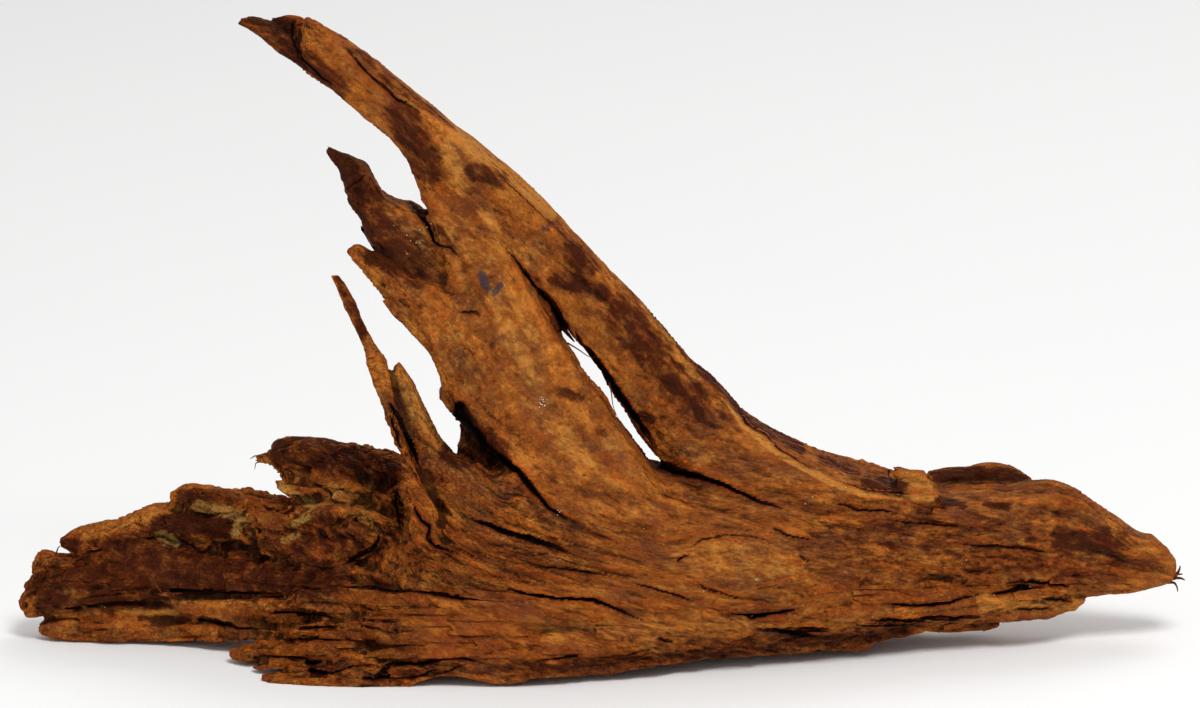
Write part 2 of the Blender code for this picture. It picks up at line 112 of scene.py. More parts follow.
# The field that the drawings lie in, in drawn millimetres: its lower left corner and its size.
FIELD_LOW = np.array([-270.0, -24.0])
FIELD_WIDTH, FIELD_HEIGHT = 546.0, 330.0


def to_part(points: np.ndarray) -> np.ndarray:
    """Drawing millimetres to the part's frame in metres."""
    return (points - [PLAN_CENTRE[0], PLAN_CENTRE[1], 0.0]) * MM


def from_part(points: np.ndarray) -> np.ndarray:
    """The part's frame in metres to drawing millimetres."""
    return points / MM + [PLAN_CENTRE[0], PLAN_CENTRE[1], 0.0]


def smooth_step(low: float, high: float, value: np.ndarray) -> np.ndarray:
    """0 below low, 1 above high and 3t^2 - 2t^3 between."""
    t = np.clip((value - low) / (high - low), 0.0, 1.0)
    return t * t * (3.0 - 2.0 * t)


def lattice_noise(points: np.ndarray, seed: int) -> np.ndarray:
    """Gradient noise: hashed slopes at the corners of a unit lattice, blended by 6t^5 - 15t^4 + 10t^3.

    Args:
        points: rows of three coordinates, one lattice cell a unit.
        seed: changes the slopes.

    Returns:
        A value for each row, about -1 to 1.
    """
    points = points.astype(np.float32)
    floor = np.floor(points)
    cell = floor.astype(np.int64).astype(np.uint32)
    local = points - floor
    fade = local**3 * (local * (local * 6 - 15) + 10)
    total = np.zeros(len(points), np.float32)
    for corner in itertools.product((0, 1), repeat=3):
        x, y, z = (cell[:, axis] + np.uint32(corner[axis]) for axis in range(3))
        code = x * np.uint32(0x9E3779B1) ^ y * np.uint32(0x85EBCA77) ^ z * np.uint32(0xC2B2AE3D)
        code ^= np.uint32(seed * 0x27D4EB2F & 0xFFFFFFFF)
        code = (code ^ (code >> np.uint32(15))) * np.uint32(0x2C1B3C6D)
        code ^= code >> np.uint32(12)
        slope = np.zeros(len(points), np.float32)
        weight = np.ones(len(points), np.float32)
        for axis, shift in enumerate((0, 8, 16)):
            gradient = ((code >> np.uint32(shift)) & np.uint32(255)).astype(np.float32) / 127.5 - 1.0
            slope += gradient * (local[:, axis] - corner[axis])
            weight *= fade[:, axis] if corner[axis] else 1.0 - fade[:, axis]
        total += weight * slope
    return total * 1.5


def stretched_noise(grain: np.ndarray, along: float, across: float, seed: int) -> np.ndarray:
    """Noise in the grain's own coordinates, with lumps along by across millimetres."""
    return lattice_noise(grain / [along, across, across], seed)


def drawn_line(flat: tuple) -> np.ndarray:
    """A line given as across, up, across, up and so on, as rows of two."""
    return np.array(flat, float).reshape(-1, 2)


def teeth(rng: np.random.Generator, place: np.ndarray, size: float) -> np.ndarray:
    """Jagged noise along a line: straight runs between random heights at three spacings, about -1 to 1.

    Args:
        rng: draws the heights.
        place: places along the line, in millimetres.
        size: the widest spacing.

    Returns:
        A value for each place.
    """
    total = np.zeros_like(place)
    for spacing, weight in ((size, 0.6), (size / 2.3, 0.3), (size / 5.1, 0.2)):
        heights = rng.uniform(-1.0, 1.0, 400)
        total += weight * np.interp(place / spacing + 3.0, np.arange(400), heights)
    return total


def mesh_from(name: str, points: np.ndarray, faces: list[np.ndarray]) -> Mesh:
    """A mesh made from whole arrays.

    Args:
        name: name of the mesh.
        points: rows of x, y, z in drawing millimetres.
        faces: arrays of corner numbers, each with a row for every face and as many columns as corners.

    Returns:
        The mesh, in the part's frame.
    """
    mesh = bpy.data.meshes.new(name)
    corners = np.concatenate([part.reshape(-1) for part in faces]).astype(np.int32)
    sizes = np.concatenate([np.full(len(part), part.shape[1]) for part in faces])
    starts = np.concatenate([[0], np.cumsum(sizes)[:-1]]).astype(np.int32)
    mesh.vertices.add(len(points))
    mesh.loops.add(len(corners))
    mesh.polygons.add(len(starts))
    mesh.vertices.foreach_set("co", to_part(points).astype(np.float32).ravel())
    mesh.loops.foreach_set("vertex_index", corners)
    mesh.polygons.foreach_set("loop_start", starts)
    mesh.update(calc_edges=True)
    mesh.validate()
    return mesh


def read_rows(items: object, name: str, width: int, kind: type) -> np.ndarray:
    """One property of all of a mesh's points, edges, corners or faces.

    Args:
        items: the mesh's collection of them.
        name: name of the property.
        width: how many numbers each has.
        kind: kind of number.

    Returns:
        A row for each.
    """
    flat = np.empty(len(items) * width, kind)
    items.foreach_get(name, flat)
    return flat.reshape(-1, width)


def mesh_points(mesh: Mesh) -> np.ndarray:
    """A mesh's points, as rows in drawing millimetres."""
    return from_part(read_rows(mesh.vertices, "co", 3, np.float32).astype(float))


def mesh_normals(mesh: Mesh) -> np.ndarray:
    """A mesh's point normals, as rows."""
    return read_rows(mesh.vertices, "normal", 3, np.float32).astype(float)


def add_object(name: str, mesh: Mesh) -> Object:
    """A new object at the origin, in the scene."""
    made = bpy.data.objects.new(name, mesh)
    bpy.context.scene.collection.objects.link(made)
    return made


def applied(made: Object) -> Mesh:
    """The object's mesh as its modifiers leave it. The object itself is removed."""
    depsgraph = bpy.context.evaluated_depsgraph_get()
    mesh = bpy.data.meshes.new_from_object(made.evaluated_get(depsgraph), depsgraph=depsgraph)
    bpy.data.objects.remove(made)
    return mesh


def fused(name: str, mesh: Mesh, voxel: float, smooth_steps: int) -> Mesh:
    """One skin round all closed shells of a mesh.

    Args:
        name: name of the scratch object.
        mesh: the shells.
        voxel: fineness of the skin in millimetres.
        smooth_steps: how often each point moves half way to its neighbours' middle.

    Returns:
        The skin.
    """
    made = add_object(name, mesh)
    skin = made.modifiers.new("fuse", "REMESH")
    skin.mode = "VOXEL"
    skin.voxel_size = voxel * MM
    if smooth_steps:
        soften = made.modifiers.new("soften", "SMOOTH")
        soften.factor = 0.5
        soften.iterations = smooth_steps
    return applied(made)


def tube_faces(rings: int, sides: int) -> list[np.ndarray]:
    """Faces of a tube: walls between its rings, and a fan round the middle point of each end.

    The two middle points come after the rings.

    Args:
        rings: sections along the tube.
        sides: points round a section.

    Returns:
        Rows of four corners and rows of three.
    """
    grid = np.arange(rings * sides).reshape(rings, sides)
    after = np.roll(grid, -1, axis=1)
    walls = np.stack([grid[:-1], after[:-1], after[1:], grid[1:]], axis=-1).reshape(-1, 4)
    first = np.column_stack([np.full(sides, rings * sides), after[0], grid[0]])
    last = np.column_stack([np.full(sides, rings * sides + 1), grid[-1], after[-1]])
    return [walls, np.vstack([first, last])]


def gathered(name: str, shells: list[tuple[np.ndarray, list[np.ndarray]]]) -> Mesh:
    """One mesh of many closed shells.

    Args:
        name: name of the mesh.
        shells: the points and the arrays of faces of each.

    Returns:
        The mesh.
    """
    starts = np.cumsum([0] + [len(points) for points, _ in shells])
    kinds = zip(*([rows + start for rows in faces] for (_, faces), start in zip(shells, starts)))
    return mesh_from(name, np.vstack([points for points, _ in shells]), [np.vstack(rows) for rows in kinds])


# Width and depth of the fibre bundles on a limb, about the mean of |sin|, and the widest spacing of teeth.
BUNDLES = ((34.0, 2.2), (17.0, 1.5), (9.0, 0.8))
SINE_MEAN = 0.64
EDGE_TOOTH, END_TOOTH = 8.0, 4.0


@dataclass(frozen=True)
class Limb:
    """One loft: a flattened section carried along the grain.

    Each row is a section: across and up of one drawn edge, across and up of the other, the depth of its
    middle and half its thickness. A row of five numbers has its edges one over the other, and gives their
    place across once. Its corners follow |cos|^squareness. Its edges are rough by jagged, and torn at the
    ends by ragged millimetres.
    """

    rows: tuple
    seed: int
    squareness: float = 0.5
    relief: float = 1.0
    ragged_start: float = 0.0
    ragged_end: float = 0.0
    jagged: float = 0.55

    def sections(self, ring_step: float) -> tuple[np.ndarray, np.ndarray]:
        """The rows as real edges, joined by Hermite curves, with a section every ring_step along the middle.

        Args:
            ring_step: distance between sections.

        Returns:
            Rows of x, z of one edge, x, z of the other, depth and half thickness, and each one's place along.
        """
        full = [row if len(row) == 6 else (*row[:2], row[0], *row[2:]) for row in self.rows]
        flat = np.array(full, float)
        edge = SIGHT.real(flat[:, 0:2], flat[:, 4])[:, [0, 2]]
        other = SIGHT.real(flat[:, 2:4], flat[:, 4])[:, [0, 2]]
        rows = np.column_stack([edge, other, flat[:, 4:6]])
        middle = np.column_stack([(edge + other) / 2, flat[:, 4]])
        chord = np.concatenate([[0.0], np.cumsum(np.linalg.norm(np.diff(middle, axis=0), axis=1))])
        slope = np.gradient(rows, chord, axis=0)
        along = np.linspace(0.0, chord[-1], max(6, round(chord[-1] / ring_step)) + 1)
        left = np.clip(np.searchsorted(chord, along, side="right") - 1, 0, len(chord) - 2)
        span = (chord[left + 1] - chord[left])[:, None]
        t = (along - chord[left])[:, None] / span
        start = (2 * t**3 - 3 * t**2 + 1) * rows[left] + (t**3 - 2 * t**2 + t) * span * slope[left]
        end = (3 * t**2 - 2 * t**3) * rows[left + 1] + (t**3 - t**2) * span * slope[left + 1]
        return start + end, along

    def bundles(
        self, along: np.ndarray, around: np.ndarray, girth: np.ndarray, rng: np.random.Generator
    ) -> np.ndarray:
        """Height of round fibre bundles with sharp grooves between: depth (|sin| - its mean), summed.

        Args:
            along: distance of each section, as a column.
            around: angle of each point of a section, as a row.
            girth: length round each section.
            rng: draws where the bundles lie.

        Returns:
            A height for every point of every section.
        """
        height = np.zeros(np.broadcast(along, around).shape)
        for width, depth in BUNDLES:
            count = max(2, round(float(girth.max()) / width))
            turn, drift, fade = rng.uniform(0, 2 * math.pi, 3)
            wander = 0.9 * np.sin(along / 46.0 + drift)
            bundle = np.abs(np.sin(0.5 * count * around + turn + wander)) - SINE_MEAN
            height += depth * bundle * (0.7 + 0.3 * np.sin(along / 32.0 + fade + around))
        return height

    def loft(self, ring_step: float, sides: int) -> tuple[np.ndarray, list[np.ndarray]]:
        """The limb's shell: middle + side |cos|^q + depth |sin|^q round each section, closed at both ends.

        Args:
            ring_step: distance between sections.
            sides: points round a section.

        Returns:
            Points and faces.
        """
        rng = np.random.default_rng(self.seed)
        rows, along = self.sections(ring_step)
        around = np.linspace(0, 2 * math.pi, sides, endpoint=False)
        cosine, sine = np.cos(around), np.sin(around)
        across = np.sign(cosine) * np.abs(cosine) ** self.squareness
        through = np.sign(sine) * np.abs(sine) ** self.squareness
        middle = np.column_stack([(rows[:, 0] + rows[:, 2]) / 2, rows[:, 4], (rows[:, 1] + rows[:, 3]) / 2])
        side = (rows[:, 0:2] - rows[:, 2:4]) / 2
        side = np.column_stack([side[:, 0], np.zeros(len(rows)), side[:, 1]])
        width = np.maximum(np.linalg.norm(side, axis=1), 0.3)
        half = np.maximum(rows[:, 5], 0.3)
        side_axis = side / width[:, None]
        out_side = cosine[None, :] / width[:, None]
        out_depth = sine[None, :] / half[:, None]
        length = np.hypot(out_side, out_depth)
        relief = self.bundles(along[:, None], around[None, :], math.pi * (width + half), rng)
        relief *= self.relief * np.minimum(1.0, half / 9.0)[:, None]
        sideways = width[:, None] * across + relief * out_side / length
        deep = half[:, None] * through + relief * out_depth / length
        jag = self.jagged * np.minimum(1.0, width / 5.0)
        for way in (1.0, -1.0):
            shift = jag * teeth(rng, along, EDGE_TOOTH)
            sideways += way * shift[:, None] * np.maximum(way * across, 0.0) ** 2
        points = middle[:, None, :] + sideways[..., None] * side_axis[:, None, :]
        points[..., 1] += deep
        tangent = np.gradient(middle, along, axis=0)
        tangent /= np.linalg.norm(tangent, axis=1)[:, None]
        for reach, distance in ((-self.ragged_start, along), (self.ragged_end, along[-1] - along)):
            if reach:
                torn = teeth(rng, across * width.mean(), END_TOOTH)
                shift = 1.4 * reach * torn[None, :] * np.exp(-distance / (3.0 * abs(reach)))[:, None]
                points += shift[..., None] * tangent[:, None, :]
        caps = np.array([points[0].mean(axis=0), points[-1].mean(axis=0)])
        return np.vstack([points.reshape(-1, 3), caps]), tube_faces(len(rows), sides)


# The trunk runs from left to right, upper edge first.
TRUNK = Limb((
    (-188, 66, 28, 48, 8), (-150, 72, 25, 41, 14), (-110, 72, 19, 26, 22), (-70, 90, 13, 6, 35),
    (-30, 101, 11.5, 4, 37), (10, 98, 13.5, 8, 36), (50, 88.5, 16, 15, 35), (90, 90, 18.5, 24, 33),
    (130, 83, 25, 33, 28), (170, 85.5, 172, 31, 39, 22), (200, 86, 205, 40, 43, 16),
    (225, 70.5, 222, 41, 45, 12), (232.5, 64.8, 230, 42, 46, 10.5), (238, 63.8, 236, 43, 46.5, 9.5),
    (241, 60.8, 240, 43.8, 47, 8.5), (245, 58.3, 244.5, 45, 47.5, 7), (247.8, 54.5, 247.6, 46.8, 48, 5),
), 1, squareness=0.6, ragged_end=0.8, jagged=1)

# The horn and the wing below it: one tapering limb down the right of the upright, outer edge first.
WING = Limb((
    (-126, 289, -131, 281, -4, 4), (-118, 284, -128, 271, -3, 7), (-101, 273, -113, 257, -2, 9),
    (-80, 256, -95, 241, 0, 10), (-62, 240, -83, 227, 2, 11), (-45, 227, -76, 211, 4, 12),
    (-28, 212, -72, 201, 6, 12), (-13, 197, -56, 190, 8, 12), (5, 178, -34, 180, 10, 12),
    (20, 163, -19, 160, 12, 12), (39, 141, -1.6, 139, 15, 13), (50, 131, 8.4, 123, 17, 14),
    (64, 117, 16.9, 110, 19, 16), (82, 106, 28.2, 96.8, 20, 21), (103, 97, 48, 82, 22, 26),
    (126, 90, 82, 62, 28, 27), (152, 82, 116, 54, 35, 20), (176, 74, 146, 52, 40, 10),
), 2, relief=0.7, ragged_start=2)

# The horn's rear prong, and the dark flake between the two prongs.
REAR_PRONG = Limb((
    (-151, 289, -156, 286, 8, 3), (-143, 287, -150, 282, 8, 4), (-133, 281, -140, 275, 7, 5),
    (-122, 273, -130, 268, 6, 6), (-108, 262, -119, 260, 4, 7), (-92, 250, -105, 248, 3, 8),
    (-80, 238, -92, 237, 3, 8),
), 3, squareness=0.8, relief=0.5, ragged_start=1.5)
PRONG_FLAKE = Limb((
    (-141, 288.5, -142, 287, 13, 1.5), (-131, 289, -134, 283, 11, 2.5), (-120, 284, -126, 274, 8, 4),
    (-108, 274, -116, 262, 5, 5),
), 4, squareness=0.8, relief=0.3)

# The middle blade, between the wing and the broken prongs.
BLADE = Limb((
    (-52, 220, -74, 206, 4, 7), (-39, 193, -68, 190, 4, 11), (-24, 165, -62, 162, 3, 13),
    (-11.3, 143, -54, 140, 2, 14), (1, 126, -50, 120, 2, 15), (11.5, 109, -44, 100, 2, 19),
    (21.5, 96, -34, 86, 2, 24), (34, 80, -18, 70, 6, 24), (46, 64, 4, 52, 13, 18),
), 5, squareness=0.42, relief=0.75)

# The upper broken prong, which passes behind the blade.
UPPER_PRONG = Limb((
    (-115, 233.5, -119, 231, 10, 2.5), (-106, 228, -112.5, 221.5, 10, 4),
    (-101, 224.5, -109.5, 213, 10, 5.5), (-95.5, 217, -106.5, 206, 10, 7), (-89, 211, -102, 199, 10, 8.5),
    (-80, 208, -98, 192, 9, 9), (-70, 197, -91, 180, 8, 10), (-52, 180, -80, 165, 8, 11),
    (-36, 160, -66, 146, 8, 12), (-18, 136, -50, 128, 8, 12),
), 6, ragged_start=3.5, jagged=2)

# The lower broken prong, the front left edge of the blade.
LOWER_PRONG = Limb((
    (-104, 191, -109, 187, -3, 3), (-97, 186.5, -104, 181, -3, 5), (-85, 180, -95, 170.5, -2, 7),
    (-68, 173, -81, 154, -1, 9), (-48, 158, -69.5, 138, 0, 11), (-28, 138, -66, 123, 0, 13),
    (-8, 116, -53, 107, -1, 16), (8, 96, -38, 95, -1, 21), (20, 76, -21, 77, 3, 23),
    (34, 58, 0, 54, 10, 16),
), 7, ragged_start=2, jagged=1)

# The thin spike at the left, and the scroll of wood that curls beside it.
SPIKE = Limb((
    (-112, 177.5, -116, 177, -4, 1.4), (-107, 170, -111.5, 167, -5, 2.4), (-103, 160, -107.5, 158, -7, 3.2),
    (-96.5, 148.5, -103, 148, -9, 4), (-91, 140, -101, 140, -10, 5), (-88, 126, -95.5, 124, -12, 6),
    (-83, 111, -91, 111, -15, 7), (-77, 96, -87, 97, -19, 8), (-71, 82, -85, 82, -22, 9),
    (-66, 66, -81, 64, -24, 9), (-54, 52, -68, 48, -17, 8), (-42, 42, -54, 38, -8, 6),
), 8, relief=0.4, ragged_start=1, jagged=0.8)
SCROLL = Limb((
    (-86, 140, -92, 134, -6, 3), (-79, 129, -88, 121, -8, 5), (-72, 115, -83.5, 108, -10, 7),
    (-66, 104, -79, 96, -14, 8), (-54, 97, -73, 85, -17, 10), (-40, 84, -63, 72, -17, 13),
    (-24, 68, -48, 56, -14, 13), (-4, 56, -28, 44, -5, 10),
), 9, squareness=0.45, relief=0.5, ragged_start=1.5)

# The web in the fork between scroll and blade, set back behind them; a dark patch over it is painted shade.
WEB = Limb((
    (-55, 122, -63, 119, 10, 3), (-47, 112, -61, 107, 10, 6), (-42, 95, -64, 96, 8, 10),
    (-30, 80, -60, 80, 6, 14),
), 10, squareness=0.8, relief=0.6, ragged_start=3, jagged=1.6)

# The bark lump and the layers at the left end, from the top down.
LUMP = Limb((
    (-148.5, 99.5, 96.5, 30, 3), (-143, 101.3, -143.5, 95, 30, 5), (-140.5, 105, -141, 93.5, 30, 7),
    (-136, 107, -138, 91, 29, 9), (-128, 107, -130, 84, 28, 11), (-118, 105.5, -122, 78, 27, 13),
    (-104, 103, 72, 24, 15), (-90, 100, 70, 20, 16), (-74, 95, 70, 14, 16),
), 11, ragged_start=1.5, jagged=1)
LUMP_FLAKE = Limb((
    (-139, 89, -140, 85, 20, 2), (-130, 89, -133, 79, 18, 3.5), (-115, 88, -118, 76, 14, 5),
    (-100, 88, -102, 72, 8, 6), (-86, 86, -88, 70, 0, 7),
), 12, relief=0.5, ragged_start=2.5, jagged=1.2)
SHELF = Limb((
    (-184, 83, 78.5, 42, 3), (-179, 86.2, -180, 74, 41, 6), (-170, 85.5, -171, 68, 39.5, 8),
    (-156, 83.5, 64, 37, 10), (-142, 81, 62, 34, 12), (-118, 80, 58, 26, 15), (-98, 78, 56, 18, 16),
), 13, squareness=0.45, ragged_start=1.5, jagged=0.9)
UPPER_LAYER = Limb((
    (-232, 63.8, -231, 61, 46, 2.5), (-227, 66.8, 58.5, 46, 4.5), (-219, 69.8, -221, 56, 46, 6.5),
    (-208, 72.3, 54, 45, 8), (-196, 77.5, 52, 44, 9), (-182, 78, 50, 42, 10), (-150, 76, 48, 33, 12),
    (-120, 68, 48, 20, 14),
), 14, squareness=0.45, ragged_start=1.5, jagged=1)
LEFT_END = Limb((
    (-250.6, 38, -250.2, 35, 46, 4), (-247, 43.5, -247.5, 32, 46, 7), (-243.3, 50, -244, 31, 45, 9),
    (-240.5, 57.3, -238, 32, 45, 10), (-233, 55.6, -231, 34.6, 44, 10.5), (-222, 55.6, -219, 37.3, 43, 11),
    (-205, 56, 39, 42, 12), (-180, 58, 41, 36, 13), (-150, 58, 41, 28, 13), (-120, 56, 42, 14, 14),
    (-92, 54, 44, 0, 13), (-66, 52, 42, -4, 8),
), 15, squareness=0.45, jagged=0.7)
TONGUE = Limb((
    (-150, 74, 60, 22, 4), (-135, 78, -136, 55.5, 14, 6), (-120, 80, -122, 52.5, 8, 7),
    (-107, 80, -106, 53.5, 2, 8), (-98, 76, -96.5, 60, -4, 7), (-90, 72, 66, -8, 5),
), 16, squareness=0.4, relief=0.6)

# The strands below the left end. The lower a strand lies, the nearer it is to the front.
LOW_STRAND = Limb((
    (-242, 27, 23.5, 43, 4), (-236, 29.8, 21.8, 43, 6), (-215, 30.2, 20.9, 43, 9), (-180, 30, 20.9, 37, 10),
    (-150, 30, 19.5, 24, 12), (-120, 30, 18.5, 12, 14),
), 17, ragged_start=1.5)
INNER_LAYER = Limb((
    (-240, 33, 28.5, 46, 4), (-231, 35.5, 29, 45, 6), (-216, 38.8, 29, 43, 8), (-196, 40, 29, 42, 9),
    (-165, 42, 29, 36, 9), (-140, 42, 30, 28, 9),
), 34, squareness=0.8, relief=0.5)
BRIGHT_STRAND = Limb((
    (-197.3, 39.7, 37.3, 36, 2), (-188, 39.5, 36.3, 34, 3), (-180, 39.2, -181, 33.3, 31, 5),
    (-169, 39, -173, 31, 27, 6), (-145, 39, 27, 19, 8), (-120, 36, 24.5, 8, 10), (-90, 36, 26, -8, 12),
), 18, relief=0.6, ragged_start=0.8)
LINK_STRAND = Limb((
    (-163, 26, -162, 20, 26, 3.5), (-148, 24.9, 18.9, 19, 5), (-132, 23, 18.2, 11, 7),
    (-95, 23, 16, -8, 10),
), 19, relief=0.6, ragged_start=1)
COMB_STRAND = Limb((
    (-135.5, 41.3, -141.3, 34, 4, 3), (-129.6, 44.3, -131, 32.6, 0, 4.5),
    (-121, 44.8, -121.5, 31.2, -3, 5.5), (-107, 43.5, -107.5, 28, -9, 7), (-90, 42, 26, -16, 8),
    (-70, 42, 25, -23, 8), (-40, 41, 23, -26, 7), (-10, 42, 24, -16, 6),
), 20, relief=0.6, ragged_start=2.5)
STEP_STRAND = Limb((
    (-131.6, 28.2, -131.8, 22.3, -4, 4), (-120, 30.4, 21.9, -7, 6.5), (-105, 31, 20.8, -12, 8),
    (-90, 31.5, 19.5, -18, 9), (-60, 30, 16, -27, 8), (-30, 32, 14, -25, 7), (0, 34, 16, -14, 6),
), 21, relief=0.6, ragged_start=1)
SPLINTER_1 = Limb((
    (-138.3, 19.6, -137, 16.8, -4, 3), (-130, 19.4, -131.5, 11.6, -8, 5), (-118, 19, 11.2, -13, 7),
    (-100, 18.3, 11, -18, 8), (-70, 19, 10, -26, 8), (-40, 18, 9, -25, 7), (-10, 20, 12, -12, 6),
), 22, relief=0.6, ragged_start=2)
SPLINTER_2 = Limb((
    (-158.2, 15, -158.8, 12.9, 4, 2.5), (-153.5, 17.3, -154.6, 10.9, 1, 4), (-140, 19, 11.3, -3, 6.5),
    (-125, 18, 10.5, -9, 8), (-100, 14.5, 7.5, -20, 8), (-70, 14, 8, -25, 7),
), 23, relief=0.5, ragged_start=1.5)
SPLINTER_3 = Limb((
    (-150, 9.7, -149.8, 8, -10, 2.5), (-145.5, 10.8, -147.5, 6.5, -12, 3.5), (-138, 11, 6.6, -15, 4.5),
    (-125, 9.6, 5.6, -19, 6), (-98, 11, 3, -24, 8),
), 24, relief=0.4, ragged_start=1.5)
SPLINTER_4 = Limb((
    (-146, 5.2, -145.5, 3.6, -22, 2.5), (-141.5, 6.2, -142.5, 1.9, -24, 3.5),
    (-131, 6.2, -132, 0.9, -26, 5), (-120, 6.2, 0.8, -27, 6), (-100, 8, -0.2, -27, 8), (-86, 10, 0, -27, 8),
    (-68, 13, 5.6, -28, 7), (-52, 14, -50, 3.2, -28, 8), (-40, 15, 1.2, -27, 9), (-22, 26, 6.5, -24, 11),
    (4, 32, 8, -15, 14), (28, 36, 11.5, -7, 16), (52, 38, 15.5, 2, 16),
), 25, relief=0.5, ragged_start=1.5, jagged=1.2)

# The layers under the right end, and the piece that stands behind its upper edge.
RIGHT_STRAND_1 = Limb((
    (96, 36, 22, 6, 8), (130, 36.5, 27, 16, 8), (165, 39, 29, 26, 8), (190, 39.5, 192, 30.3, 32, 6),
    (208, 38.5, 205, 33, 37, 3),
), 26, relief=0.25, ragged_end=2, jagged=0.9)
RIGHT_STRAND_2 = Limb((
    (80, 28, 18, 14, 10), (120, 28.5, 23.6, 24, 9), (150, 29, 24.4, 32, 8), (168, 29, 25.6, 37, 5),
    (173, 28.6, 172, 26.2, 39, 2.5),
), 27, relief=0.2, ragged_end=1.5, jagged=0.9)
RIGHT_FOOT = Limb((
    (50, 34, 16, 12, 18), (80, 32, 17.5, 24, 15), (102, 26, 17.5, 40, 12), (118, 25, 17, 47, 10),
    (127, 23, 126, 19.8, 48, 4),
), 28, relief=0.5, ragged_end=1.5, jagged=1.5)
REAR_CREST = Limb((
    (112, 86, 76, 46, 8), (127, 88, 76, 50, 8), (143, 93.5, 76, 53, 8), (158, 95.5, 74, 55, 8),
    (172, 96, 173, 72, 56, 7), (183, 92, 187, 70, 56, 6), (191, 86, 200, 70, 55, 4),
), 29, squareness=0.6, relief=0.6)
CREST_CHIP = Limb((
    (140, 93, 126, 93.6, 19, 3), (142.5, 89, 126, 90, 17, 4.5), (146, 84, 128, 84, 17, 7),
    (150, 78, 132, 74, 26, 8), (158, 72, 140, 69, 35, 5),
), 30, relief=0.4, ragged_start=1)

# The back of the piece: a ridge along the trunk and a rib up the blade.
BACK_RIDGE = Limb((
    (-165, 66, 56, 52, 4), (-120, 76, 52, 44, 9), (-60, 84, 56, 38, 12), (0, 88, 60, 42, 13),
    (60, 86, 60, 52, 13), (120, 82, 62, 60, 10), (168, 78, 68, 62, 5),
), 31, squareness=0.8)
BACK_RIB = Limb((
    (-84, 204, -90, 198, 16, 4), (-62, 184, -74, 172, 18, 7), (-38, 152, -56, 140, 20, 9),
    (-14, 118, -36, 106, 22, 12), (10, 88, -20, 78, 24, 16),
), 32, squareness=0.8)
LEFT_FOOT = Limb((
    (-216, 31, 23.5, 49, 4), (-200, 33, 21, 49, 8), (-180, 34, 21, 48, 9), (-155, 36, 24, 45, 8),
), 33, squareness=0.8, relief=0.4)
MIDDLE_STRIP = Limb((
    (-237, 31.8, -238, 30.6, 40, 2), (-226, 34.2, 31.2, 39, 3), (-205, 34.4, 31.2, 37, 3.5),
    (-182, 32.8, 30.8, 34, 3.5), (-165, 31, 29.3, 30, 4),
), 35, relief=0.3, ragged_start=1.5)

STOUT_LIMBS = (
    TRUNK, WING, BLADE, UPPER_PRONG, LOWER_PRONG, SCROLL, WEB, RIGHT_FOOT, REAR_CREST, BACK_RIDGE, BACK_RIB,
    LEFT_FOOT,
)
THIN_LIMBS = (
    REAR_PRONG, PRONG_FLAKE, SPIKE, LUMP, LUMP_FLAKE, SHELF, UPPER_LAYER, LEFT_END, LOW_STRAND, INNER_LAYER,
    MIDDLE_STRIP, TONGUE, BRIGHT_STRAND, LINK_STRAND, COMB_STRAND, STEP_STRAND, SPLINTER_1, SPLINTER_2,
    SPLINTER_3, SPLINTER_4, RIGHT_STRAND_1, RIGHT_STRAND_2, CREST_CHIP,
)


# Strokes drawn along the fibres, from the broken ends to where the grain runs out at the right.
GRAIN_STROKES = (
    (-150, 288, -127, 288, -102, 272, -80, 253, -52, 230, -25, 206, 0, 182, 26, 155, 45, 133),
    (45, 133, 60, 118, 80, 106, 110, 93, 150, 84, 190, 81, 220, 68, 250, 48),
    (-155, 286, -130, 269, -110, 254, -92, 240, -80, 222, -68, 206, -48, 194, -28, 174),
    (-28, 174, -12, 156, 4, 136, 18, 114, 34, 98, 60, 86, 90, 77, 130, 70, 180, 64, 240, 50),
    (-76, 205, -60, 190, -48, 172, -38, 150, -26, 128, -12, 106, 6, 88, 30, 76, 60, 71),
    (-118, 232, -104, 214, -92, 196, -78, 178, -60, 156, -44, 130, -26, 106, -4, 84, 24, 70),
    (-108, 189, -90, 174, -74, 152, -60, 128, -44, 106, -24, 84, 0, 68, 28, 60),
    (-114, 177, -104, 158, -96, 136, -90, 112, -82, 92, -70, 72, -50, 56, -20, 48, 20, 42),
    (-86, 138, -77, 118, -68, 100, -52, 84, -32, 70, -4, 58, 24, 50),
    (-148, 98, -120, 96, -98, 90, -82, 80),
    (-184, 80, -150, 76, -120, 70, -95, 64, -75, 56),
    (-231, 62, -200, 64, -160, 60, -120, 54, -80, 48, -40, 44, 0, 40, 40, 36, 80, 32),
    (-248, 38, -210, 44, -160, 46, -120, 45, -80, 42),
    (-240, 26, -190, 28, -140, 29, -90, 28, -40, 28, 20, 26, 80, 24, 140, 28, 200, 36),
    (-145, 5, -110, 6, -80, 9, -40, 12, 10, 16, 60, 20, 120, 23, 170, 28),
    (30, 56, 40, 64, 55, 69, 75, 67, 90, 60, 110, 55, 150, 52),
    (30, 50, 42, 42, 60, 38, 80, 42, 95, 49, 120, 49),
    (36, 53, 60, 53, 88, 53),
    (100, 62, 150, 60, 200, 56, 245, 47),
    (100, 36, 150, 38, 200, 42, 240, 46),
)


# When the fit of the grain's coordinates stops: after so many turns, or with so small an error.
FIT_TURNS = 900
FIT_ERROR = 1e-12


